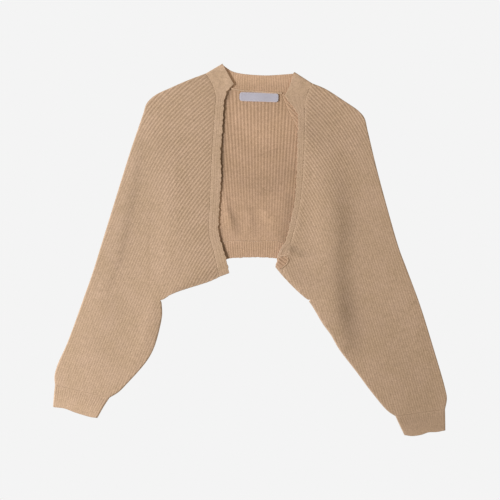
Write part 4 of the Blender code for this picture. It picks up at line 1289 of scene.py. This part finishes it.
@dataclass(frozen=True)
class KnitFinish:
    """Wool knit: the yarn's colour with painted shade in its rib valleys and between its stitches, a
    heather tone and small knit stitches.

    stitch is the stitches' length in millimetres, slant and uneven how far their rows lean and
    waver. The valley and gap shares are how deep the painted shade takes the colour between ribs and
    between stitches, towards the dark shade colour, and the valley power how narrow it is; patches,
    heather and strands how far the tone varies. flat_share and flat_relief are what is left of the
    painted shade and of the relief where there are no ribs. Over this, the painted light and shade
    attribute lightens or darkens the colour.
    """

    name: str
    light: tuple = (0.598, 0.437, 0.316)
    painted_shade_colour: tuple = (0.30, 0.200, 0.130)
    inner: tuple = (0.610, 0.420, 0.294)
    stitch: float = 2.1
    slant: float = 1.6
    uneven: float = 1.5
    bump: float = 0.35
    bump_m: float = 0.0007
    painted_valley_shade: float = 0.38
    painted_valley_power: float = 1.6
    painted_gap_shade: float = 0.13
    flat_share: float = 0.08
    flat_relief: float = 0.35
    patches: float = 0.2
    heather: float = 0.95
    strands: float = 0.42
    strand_across: float = 0.9
    strand_along: float = 0.13
    cool_patches: float = 0.12
    cool_heather: float = 0.15
    fibres: float = 0.7
    sheen_tint: tuple = (1.0, 0.86, 0.72, 1.0)

    def material(self) -> Material:
        """Builds the material."""
        material, board = start_material(self.name)
        phase, run, share, turned, painted_shading = (board.attribute(title) for title in ATTRIBUTES)
        place = board.wire("ShaderNodeTexCoord", "Object")
        patch, heather = board.noise(place, PATCH_NOISE) - 0.5, board.noise(place, HEATHER_NOISE) - 0.5
        spun = board.vector(X=phase * self.strand_across, Y=run * self.strand_along)
        strand = board.noise(spun, STRAND_NOISE) - 0.5
        across = board.math("ABSOLUTE", board.math("FRACT", phase + 0.5) - 0.5)
        uneven = board.noise(place, STITCH_NOISE) * self.uneven
        wave = board.swing("SINE", run / self.stitch + across * self.slant + uneven)
        # Painted shade: the colour darkens towards the shade colour in the rib valleys and in the gaps
        # between stitches
        painted_valley_shade = (1.0 - board.swing("COSINE", phase)) ** self.painted_valley_power * self.painted_valley_shade
        ribbed = share * (1.0 - self.flat_share) + self.flat_share
        painted_hollow_shade = (painted_valley_shade + (1.0 - wave) * self.painted_gap_shade) * ribbed
        colour = board.blend(turned, (*self.light, 1.0), (*self.inner, 1.0))
        colour = board.blend(painted_hollow_shade, colour, (*self.painted_shade_colour, 1.0))
        tone = patch * self.patches + heather * self.heather + strand * self.strands + 1.0
        # Painted light and shade: the tone is lightened or darkened by the painted shading attribute
        tone = tone * (painted_shading + 1.0)
        cool = tone + patch * self.cool_patches + heather * self.cool_heather
        relief = wave * (share * (1.0 - self.flat_relief) + self.flat_relief)
        relief = relief + board.noise(place, FIBRE_NOISE) * self.fibres
        bump = board.wire("ShaderNodeBump", 0, inputs={
            "Height": relief, "Strength": self.bump, "Distance": self.bump_m})
        board.surface("ShaderNodeBsdfPrincipled", {
            "Base Color": board.toned(colour, tone, cool), "Roughness": 0.92, "Normal": bump,
            "Specular IOR Level": 0.2, "Sheen Weight": 0.22, "Sheen Roughness": 0.45,
            "Sheen Tint": self.sheen_tint})
        return material


@dataclass(frozen=True)
class WovenFinish:
    """Smooth woven tape with fine crossing yarns and a pinkish rim on both sides."""

    name: str
    colour: tuple = (0.535, 0.54, 0.665)
    rim: tuple = (0.66, 0.60, 0.68)
    rim_from: float = 7.6
    warp: float = 0.5
    weft: float = 0.45
    warp_share: float = 0.9
    weave_tone: float = 0.14
    noise_tone: float = 0.12
    least_tone: float = 0.9
    bump: float = 0.4
    bump_m: float = 0.0002

    def material(self) -> Material:
        """Builds the material."""
        material, board = start_material(self.name)
        along, across = board.attribute("tape_along"), board.attribute("tape_across")
        weave = board.math("MAXIMUM", board.swing("SINE", along / self.warp) * self.warp_share,
                           board.swing("SINE", across / self.weft))
        noise = board.noise(board.wire("ShaderNodeTexCoord", "Object"), TAPE_NOISE)
        edge = board.math("GREATER_THAN", board.math("ABSOLUTE", across), self.rim_from)
        colour = board.blend(edge, (*self.colour, 1.0), (*self.rim, 1.0))
        tone = weave * self.weave_tone + (noise - 0.5) * self.noise_tone + self.least_tone
        bump = board.wire("ShaderNodeBump", 0, inputs={
            "Height": weave, "Strength": self.bump, "Distance": self.bump_m})
        board.surface("ShaderNodeBsdfPrincipled", {
            "Base Color": board.toned(colour, tone, tone), "Roughness": 0.6, "Normal": bump,
            "Specular IOR Level": 0.35})
        return material


@dataclass(frozen=True)
class Cloths:
    """The finishes of the garment, built once."""

    outside: Material
    fine: Material
    collar: Material
    inside: Material
    label: Material
    yarn: Material


class Slot(Enum):
    """Material slots of the record."""

    RIB = "rib_knit"
    FINE = "fine_rib"
    INSIDE = "knit_inside"
    LABEL = "woven_label"


def settle(item: Object, slot: Slot, *nodes: str) -> None:
    """Puts a piece on the model's body, in the place of its nodes."""
    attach(item, "root")
    if nodes:
        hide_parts(*nodes)


@dataclass
class FrontWithSleeve:
    """A front with its dolman sleeve: both layers of the sleeve and the single front."""

    side: Side
    ribs: BentRibs
    name: str
    window: tuple
    flat: tuple
    area: float
    rib_height: float = 0.57

    def build(self, cloths: Cloths, relief: RibRelief) -> Object:
        """Makes the piece in the place of its node.

        Args:
            cloths: the finishes.
            relief: the tree that raises ribs.

        Returns:
            The piece.
        """
        side = self.side
        sleeve = [Edge(side.outer_line(), Ends.FOLD), Edge(side.cuff_seam(), Ends.SEAM),
                  Edge(side.lower_line(), Ends.FOLD)]
        top = Layer([*sleeve, Edge(side.hem_line()), Edge(side.seam_to_band(), Ends.SEAM)],
                    front_under, front_top, on_top=True, top_ribs=Ribbing(self.ribs))
        under = ground_layer([*sleeve, Edge(leg(side.underarm, side.underarm_leg)),
                              Edge(side.raglan_seam(), Ends.SEAM), Edge(side.neck_seam_part(), Ends.SEAM)],
                             self.rib_height, self.ribs, Ribbing(self.ribs, window=self.window))
        shell = Shell(top, under)
        item = relief.raise_ribs(shell.make(self.name + "_cloth"), self.rib_height, cloths.outside)
        settle(item, Slot.RIB, self.name)
        return item


@dataclass
class Cuff:
    """A cuff of fine rib, a short tube lying double."""

    side: Side
    ribs: FannedRibs
    name: str
    flat: tuple
    area: float
    rib_height: float = 0.5
    top_depth: float = 2.5

    def build(self, cloths: Cloths, relief: RibRelief) -> Object:
        """Makes the cuff in the place of its node, see FrontWithSleeve."""
        side = self.side
        outer = smooth_curve([side.cuff_out, *side.cuff_outer_side])
        inner = smooth_curve([*side.cuff_inner_side, side.cuff_in])
        start = leg(outer[-1], side.cuff_end[0] - outer[-1])
        finish = leg(inner[0], side.cuff_end[-1] - inner[0])
        end = joined(start, smooth_curve([start[-1], *side.cuff_end, finish[-1]], HEM_STEP), finish[::-1])
        edges = [Edge(outer, Ends.FOLD), Edge(end), Edge(inner, Ends.FOLD),
                 Edge(side.cuff_seam()[::-1], Ends.SEAM)]
        top = Layer(edges, front_under, front_top, on_top=True,
                    top_ribs=Ribbing(self.ribs, depth=self.top_depth))
        under = ground_layer(edges, self.rib_height, self.ribs, under_step=8.0)
        shell = Shell(top, under)
        item = relief.raise_ribs(shell.make(self.name + "_cloth"), self.rib_height, cloths.fine)
        settle(item, Slot.FINE, self.name)
        return item


@dataclass
class NeckAndFrontBand:
    """The strip that edges both fronts and stands as the collar, folded beside the neck."""

    name: str = "neck_front_band"
    band_ribs: int = 4
    band_depth: float = 0.5
    band_window: tuple = (-110.0, 150.0, -120.0, 322.0)
    collar_centre: tuple = (19.0, 900.0)
    collar_step_deg: float = 0.49
    collar_depth: float = 1.8
    rib_height: float = 0.42
    waver: float = 1.3

    def front_layer(self, side: Side) -> Layer:
        """The part along a front, which widens into the front half of the collar."""
        start = leg(side.collar_tip, side.collar_tip_leg)
        front = smooth_curve([side.collar_corner, *side.front_edge, side.band_tip], HEM_STEP)
        free = joined(start, smooth_curve([start[-1], *side.collar_edge, side.collar_corner], HEM_STEP),
                      wavering(front, self.waver, side.neck[0]))
        end = smooth_curve([side.band_tip, side.front_corner], EDGE_STEP / 2)
        seam = side.seam_to_band()
        ribs = StripRibs(seam[::-1], free, self.band_ribs)
        return Layer([Edge(side.collar_fold(), Ends.FOLD), Edge(free), Edge(end), Edge(seam, Ends.SEAM)],
                     front_under, front_top, on_top=True,
                     top_ribs=Ribbing(ribs, depth=self.band_depth, window=self.band_window))

    def back_layer(self, left: Side, right: Side) -> Layer:
        """The back of the collar, which lies inside out behind the neck."""
        start, finish = (leg(side.collar_tip, side.collar_tip_leg) for side in (left, right))
        top_edge = smooth_curve([start[-1], *COLLAR_TOP_EDGE, finish[-1]], HEM_STEP)
        seam = joined(left.neck_seam_part()[::-1], smooth_curve(BACK_NECK_SEAM), right.neck_seam_part())
        edges = [Edge(left.collar_fold(), Ends.FOLD), Edge(joined(start, top_edge, finish[::-1])),
                 Edge(right.collar_fold()[::-1], Ends.FOLD), Edge(seam[::-1], Ends.SEAM)]
        ribs = FannedRibs(self.collar_centre, self.collar_step_deg)
        top = Ribbing(ribs, shares=6, step=5.0, depth=self.collar_depth)
        return ground_layer(edges, self.rib_height, ribs, top, under_step=8.0)

    def build(self, cloths: Cloths, relief: RibRelief) -> Object:
        """Makes the strip in the place of its node, see FrontWithSleeve."""
        shell = Shell(self.front_layer(LEFT), self.front_layer(RIGHT), self.back_layer(LEFT, RIGHT))
        item = relief.raise_ribs(shell.make(self.name + "_cloth"), self.rib_height, cloths.collar)
        settle(item, Slot.FINE, self.name)
        return item


@dataclass
class Back:
    """The single back, inside up, and its hem band."""

    fan_centre: tuple = (22.0, -645.0)
    fan_step_deg: float = 0.431
    hem_step_deg: float = 0.408
    window: tuple = (-95.0, 135.0, -60.0, 360.0)
    rib_height: float = 0.42
    hem_rib_height: float = 0.85
    hem_depth: float = 1.8
    hem_waver: float = 0.6

    def panel(self, cloths: Cloths, relief: RibRelief) -> Object:
        """Makes the panel between the raglan seams."""
        lines = (smooth_curve(BACK_NECK_SEAM), RIGHT.raglan_line()[::-1],
                 smooth_curve(HEM_BAND_SEAM)[::-1], LEFT.raglan_line())
        ribs = FannedRibs(self.fan_centre, self.fan_step_deg)
        layer = ground_layer([Edge(line, Ends.SEAM) for line in lines], self.rib_height, ribs,
                             Ribbing(ribs, window=self.window))
        item = relief.raise_ribs(Shell(layer).make("back_panel_cloth"), self.rib_height, cloths.inside)
        settle(item, Slot.INSIDE, "back_panel")
        return item

    def hem_band(self, cloths: Cloths, relief: RibRelief) -> Object:
        """Makes the band of finer rib at the hem."""
        edges = [Edge(smooth_curve(HEM_BAND_SEAM), Ends.SEAM),
                 Edge(smooth_curve([RIGHT.hem_corner, RIGHT.band_corner])[::-1], Ends.SEAM),
                 Edge(wavering(smooth_curve(BACK_HEM, HEM_STEP)[::-1], self.hem_waver)),
                 Edge(smooth_curve([LEFT.hem_corner, LEFT.band_corner]), Ends.SEAM)]
        ribs = FannedRibs(self.fan_centre, self.hem_step_deg)
        shell = Shell(ground_layer(edges, self.hem_rib_height, ribs,
                                   Ribbing(ribs, shares=6, depth=self.hem_depth)))
        item = relief.raise_ribs(shell.make("back_hem_band_cloth"), self.hem_rib_height, cloths.inside)
        settle(item, Slot.INSIDE, "back_hem_band")
        return item


def roll(name: str, knots: list, radius: float, material: Material,
         sides: int = 12) -> Object:
    """A rolled edge of knitting, tapering to both ends.

    Args:
        name: the piece's name.
        knots: points of its middle line, in plan millimetres.
        radius: its greatest radius.
        material: its material.
        sides: number of its facets.

    Returns:
        The roll as a closed mesh.
    """
    line = smooth_curve(knots, ROLL_STEP)
    spans = unit(np.gradient(line, axis=0))
    aside = unit(np.cross(spans, (0.0, 0.0, 1.0)))
    upward = np.cross(aside, spans)
    along = lengths_along(line)
    share = np.minimum(along, along[-1] - along) / (ROLL_TAPER * radius)
    taper = np.sqrt(np.clip(share, ROLL_LEAST, 1.0))
    angles = np.arange(sides) * math.tau / sides
    ways = (np.cos(angles)[None, :, None] * aside[:, None, :]
            + np.sin(angles)[None, :, None] * upward[:, None, :])
    rings = line[:, None, :] + radius * taper[:, None, None] * ways
    last = (len(line) - 1) * sides
    faces = [(k + j, k + (j + 1) % sides, k + sides + (j + 1) % sides, k + sides + j)
             for k in range(0, last, sides) for j in range(sides)]
    faces += [tuple(range(sides))[::-1], tuple(range(last, last + sides))]
    mesh = new_mesh(name, rings.reshape(-1, 3), [], faces)
    turned_out(mesh)
    mesh.materials.append(material)
    return placed(name, mesh)


@dataclass
class TurnedCorner:
    """The lower corner of the right front, where the band's end curls up and shows its inside."""

    sides: tuple = (
        ((60.8, -14.8), (69.0, -13.4), (77.4, -13.0)),
        ((77.4, -13.0), (77.6, -19.5), (75.6, -25.6), (69.5, -31.8), (62.8, -37.4)),
        ((62.8, -37.4), (57.8, -34.4), (55.2, -30.4), (57.0, -23.0), (60.8, -14.8)),
    )
    rim: tuple = (
        (76.6, -12.0, 0.2), (78.2, -19.6, 0.6), (76.2, -26.0, 0.6), (70.0, -32.4, 0.5), (62.8, -38.2, 0.2),
    )
    over: tuple = ((60.0, -12.6, 0.1), (66.0, -11.6, 0.5), (73.0, -10.8, 0.6), (79.0, -10.4, 0.2))
    ribs: RibFamily = RibFamily(slope_deg=-36.0, pitch=6.0, joins_x=60.0, joins_y=-20.0)
    rib_height: float = 1.3
    gap: float = 0.2
    rise: float = 1.0
    rim_radius: float = 1.2
    over_radius: float = 1.5

    def build(self, cloths: Cloths, relief: RibRelief) -> None:
        """Makes the curled end and its rolled edges."""
        layer = Layer([Edge(smooth_curve(side, HEM_STEP)) for side in self.sides],
                      partial(over_front, self.gap), partial(over_front, self.rise), on_top=True,
                      inside_up=True, top_ribs=Ribbing(BentRibs((self.ribs,), 1.0), step=3.0))
        pieces = [relief.raise_ribs(Shell(layer).make("front_corner_curl"), self.rib_height, cloths.inside)]
        for title, knots, radius in (("rim", self.rim, self.rim_radius),
                                     ("over", self.over, self.over_radius)):
            raised = [(x, y, float(over_front(rise, np.array(x), np.array(y)))) for x, y, rise in knots]
            pieces.append(roll(f"front_corner_{title}", raised, radius, cloths.yarn))
        for item in pieces:
            settle(item, Slot.FINE)


@dataclass
class NeckLabel:
    """The bare woven label, a soft tape on the back panel's ribs."""

    length: float = 78.0
    width: float = 18.0
    thickness: float = 0.9
    corner: float = 5.5
    centre: tuple = (20.2, 305.8)
    tilt_deg: float = -2.0
    height: float = 3.7
    sag: float = 0.25
    wave_along: float = 46.0
    wave_across: float = 26.0
    wave_skew: float = 19.0
    cross_share: float = 0.6
    columns: int = 60
    rows: int = 14

    def _place(self, x: float, y: float) -> tuple:
        """Place of a grid point, from -1 to 1 each way, on the tape with its round corners."""
        half_x, half_y = self.length / 2, self.width / 2
        x, y = x * half_x, y * half_y
        over_x, over_y = abs(x) - (half_x - self.corner), abs(y) - (half_y - self.corner)
        if over_x > 0 and over_y > 0:
            squeeze = max(over_x, over_y) / math.hypot(over_x, over_y)
            x = math.copysign(half_x - self.corner + over_x * squeeze, x)
            y = math.copysign(half_y - self.corner + over_y * squeeze, y)
        return x, y, 0.0

    def _order(self, face: bmesh.types.BMFace) -> float:
        """Sorting key of a face, because solidify makes those of the rim in another order each run.

        Args:
            face: a face of the flat tape.

        Returns:
            The face's number, or for the rim, past all numbers, its angle round the middle.
        """
        if abs(face.normal.z) > 0.5:
            return face.index
        middle = face.calc_center_median()
        return 3 * self.columns * self.rows + math.atan2(middle.y, middle.x)

    def build(self, cloths: Cloths) -> Object:
        """Makes the label in the place of its node."""
        mesh = bpy.data.meshes.new("neck_label_tape")
        work = bmesh.new()
        bmesh.ops.create_grid(work, x_segments=self.columns, y_segments=self.rows, size=1.0)
        for vert in work.verts:
            vert.co = self._place(vert.co.x, vert.co.y)
        bmesh.ops.solidify(work, geom=work.faces[:], thickness=self.thickness)
        bmesh.ops.recalc_face_normals(work, faces=work.faces)
        work.normal_update()
        work.faces.index_update()
        work.faces.sort(key=self._order)
        low = min(vert.co.z for vert in work.verts)
        places = np.array([vert.co[:] for vert in work.verts])
        turn = math.radians(self.tilt_deg)
        for vert in work.verts:
            x, y = vert.co.x, vert.co.y
            cross = self.cross_share * math.cos(y * math.tau / self.wave_across + x / self.wave_skew)
            wave = self.sag * (math.cos(x * math.tau / self.wave_along) + cross)
            z = self.height + (vert.co.z - low - self.thickness / 2) + wave
            turned_x = x * math.cos(turn) - y * math.sin(turn) + self.centre[0] - PLAN_CENTRE[0]
            turned_y = x * math.sin(turn) + y * math.cos(turn) + self.centre[1] - PLAN_CENTRE[1]
            vert.co = (turned_x * MM, turned_y * MM, z * MM)
        work.to_mesh(mesh)
        work.free()
        mesh.shade_smooth()
        note_values(mesh, ("tape_along", "tape_across"), places.T)
        mesh.materials.append(cloths.label)
        item = placed("neck_label_tape", mesh)
        settle(item, Slot.LABEL, "neck_label")
        log.info("neck_label_tape: %d faces", len(mesh.polygons))
        return item


@dataclass
class Sewing:
    """The seams' stitches, which stop short of corners, and the corded seam behind the neck."""

    stitch: Stitch = Stitch(pitch=3.0, length=3.2, yarn=0.55, slant_deg=24.0, spread=0.55 * 0.45,
                            lift=-0.7)
    cord: Stitch = Stitch(pitch=2.8, length=4.8, yarn=2.0, slant_deg=20.0, spread=0.8, lift=1.2)
    hem_from: float = -80.0
    hem_to: float = 100.0

    def build(self, cloths: Cloths, stitching: Stitching) -> None:
        """Sews all the seams with the tree that sets stitches."""
        rows = []
        for title, side in (("left", LEFT), ("right", RIGHT)):
            rows.append((f"band_seam_stitches_{title}", side.seam_to_band()[1:-3], front_top, self.stitch))
            rows.append((f"cuff_seam_stitches_{title}", side.cuff_seam()[2:-2], front_top, self.stitch))
        hem = smooth_curve(HEM_BAND_SEAM)
        hem = hem[(hem[:, 0] > self.hem_from) & (hem[:, 0] < self.hem_to)]
        rows.append(("hem_seam_stitches", hem, ground_top, self.stitch))
        rows.append(("neck_seam_cord", smooth_curve(BACK_NECK_SEAM), ground_top, self.cord))
        made = []
        for name, line, height, stitch in rows:
            raised = np.column_stack([line, height(line[:, 0], line[:, 1]) + stitch.lift])
            made.append(stitching.sew(name, raised, stitch, cloths.yarn))
        for item in made:
            settle(item, Slot.FINE)


@dataclass(frozen=True)
class Studio:
    """Pale floor, soft light from the left and a camera straight above."""

    lens_mm: float = 85.0
    sensor_mm: float = 36.0
    view_width: float = 1.0
    view_middle: tuple = (2.0, 0.0)
    focus_height: float = 0.005
    key_place: tuple = (-1.8, 0.25, 1.25)
    key_size: float = 0.3
    key_watts: float = 37.4
    sky: float = 0.456
    sky_tone: tuple = (1.0, 0.88, 0.72, 1.0)
    floor_size: float = 6.0
    floor_tone: float = 0.905

    def build(self) -> None:
        """Makes the floor, the lights and the camera."""
        scene = bpy.context.scene
        bpy.ops.mesh.primitive_plane_add(size=self.floor_size, location=(0.0, 0.0, 0.0))
        floor = bpy.context.object
        floor.name = "studio_floor"
        material, board = start_material("pale_floor")
        board.surface("ShaderNodeEmission", {"Color": (*[self.floor_tone] * 3, 1.0), "Strength": 1.0})
        floor.data.materials.append(material)
        key = bpy.data.lights.new("key_light", "AREA")
        key.shape, key.size, key.energy = "DISK", self.key_size, self.key_watts
        lamp = placed("key_light", key)
        lamp.location = self.key_place
        lamp.rotation_euler = Vector(self.key_place).to_track_quat("Z", "Y").to_euler()
        scene.world = bpy.data.worlds.new("soft_sky")
        scene.world.use_nodes = True
        sky = scene.world.node_tree.nodes["Background"].inputs
        sky["Color"].default_value, sky["Strength"].default_value = self.sky_tone, self.sky
        scene.view_settings.view_transform = "Standard"
        camera = bpy.data.cameras.new("camera_above")
        camera.lens, camera.sensor_width = self.lens_mm, self.sensor_mm
        eye = placed("camera_above", camera)
        x, y = ((place - centre) * MM for place, centre in zip(self.view_middle, PLAN_CENTRE))
        eye.location = (x, y, self.view_width * self.lens_mm / self.sensor_mm + self.focus_height)
        scene.camera = eye


def corners(box: tuple) -> list:
    """A box as plain lists of numbers."""
    return [list(point) for point in box]


def main() -> None:
    """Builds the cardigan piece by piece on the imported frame."""
    logging.basicConfig(level=logging.INFO, format="%(name)s %(message)s")
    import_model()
    Studio().build()
    relief, stitching = RibRelief(), Stitching()
    cloths = Cloths(
        # Each knit finish paints shade into its rib valleys and between its stitches
        outside=KnitFinish("wool_rib").material(),
        fine=KnitFinish("wool_fine_rib", stitch=1.9, painted_valley_shade=0.3).material(),
        collar=KnitFinish("wool_collar", stitch=1.9, painted_valley_shade=0.3).material(),
        inside=KnitFinish("wool_rib_inside", painted_valley_shade=0.32, painted_shade_colour=(0.28, 0.175, 0.108)).material(),
        label=WovenFinish("label_weave").material(),
        # Yarn of stitches, neck cord and rolled edges, lighter than the knit as a painted highlight on
        # these raised strands
        yarn=KnitFinish("wool_yarn_painted_highlight", light=(0.66, 0.49, 0.36), bump=0.3).material(),
    )
    pieces = (
        FrontWithSleeve(LEFT, BentRibs(LEFT_RIBS, mirror=1.0), "front_sleeve_left",
                        window=(-90.0, -10.0, 250.0, 380.0), flat=(0.347, 0.691), area=0.2),
        FrontWithSleeve(RIGHT, BentRibs(RIGHT_RIBS, mirror=-1.0), "front_sleeve_right",
                        window=(50.0, 145.0, 220.0, 380.0), flat=(0.369, 0.703), area=0.218,
                        rib_height=0.76),
        Cuff(LEFT, FannedRibs(centre=(-413.1, -518.3), step_deg=1.07), "cuff_left",
             flat=(0.22, 0.042), area=0.0092),
        Cuff(RIGHT, FannedRibs(centre=(395.7, -549.6), step_deg=1.14), "cuff_right",
             flat=(0.202, 0.04), area=0.008),
        NeckAndFrontBand(),
    )
    for piece in pieces:
        piece.build(cloths, relief)
    back = Back()
    back.panel(cloths, relief)
    back.hem_band(cloths, relief)
    NeckLabel().build(cloths)
    TurnedCorner().build(cloths, relief)
    Sewing().build(cloths, stitching)


if __name__ == "__main__":
    main()
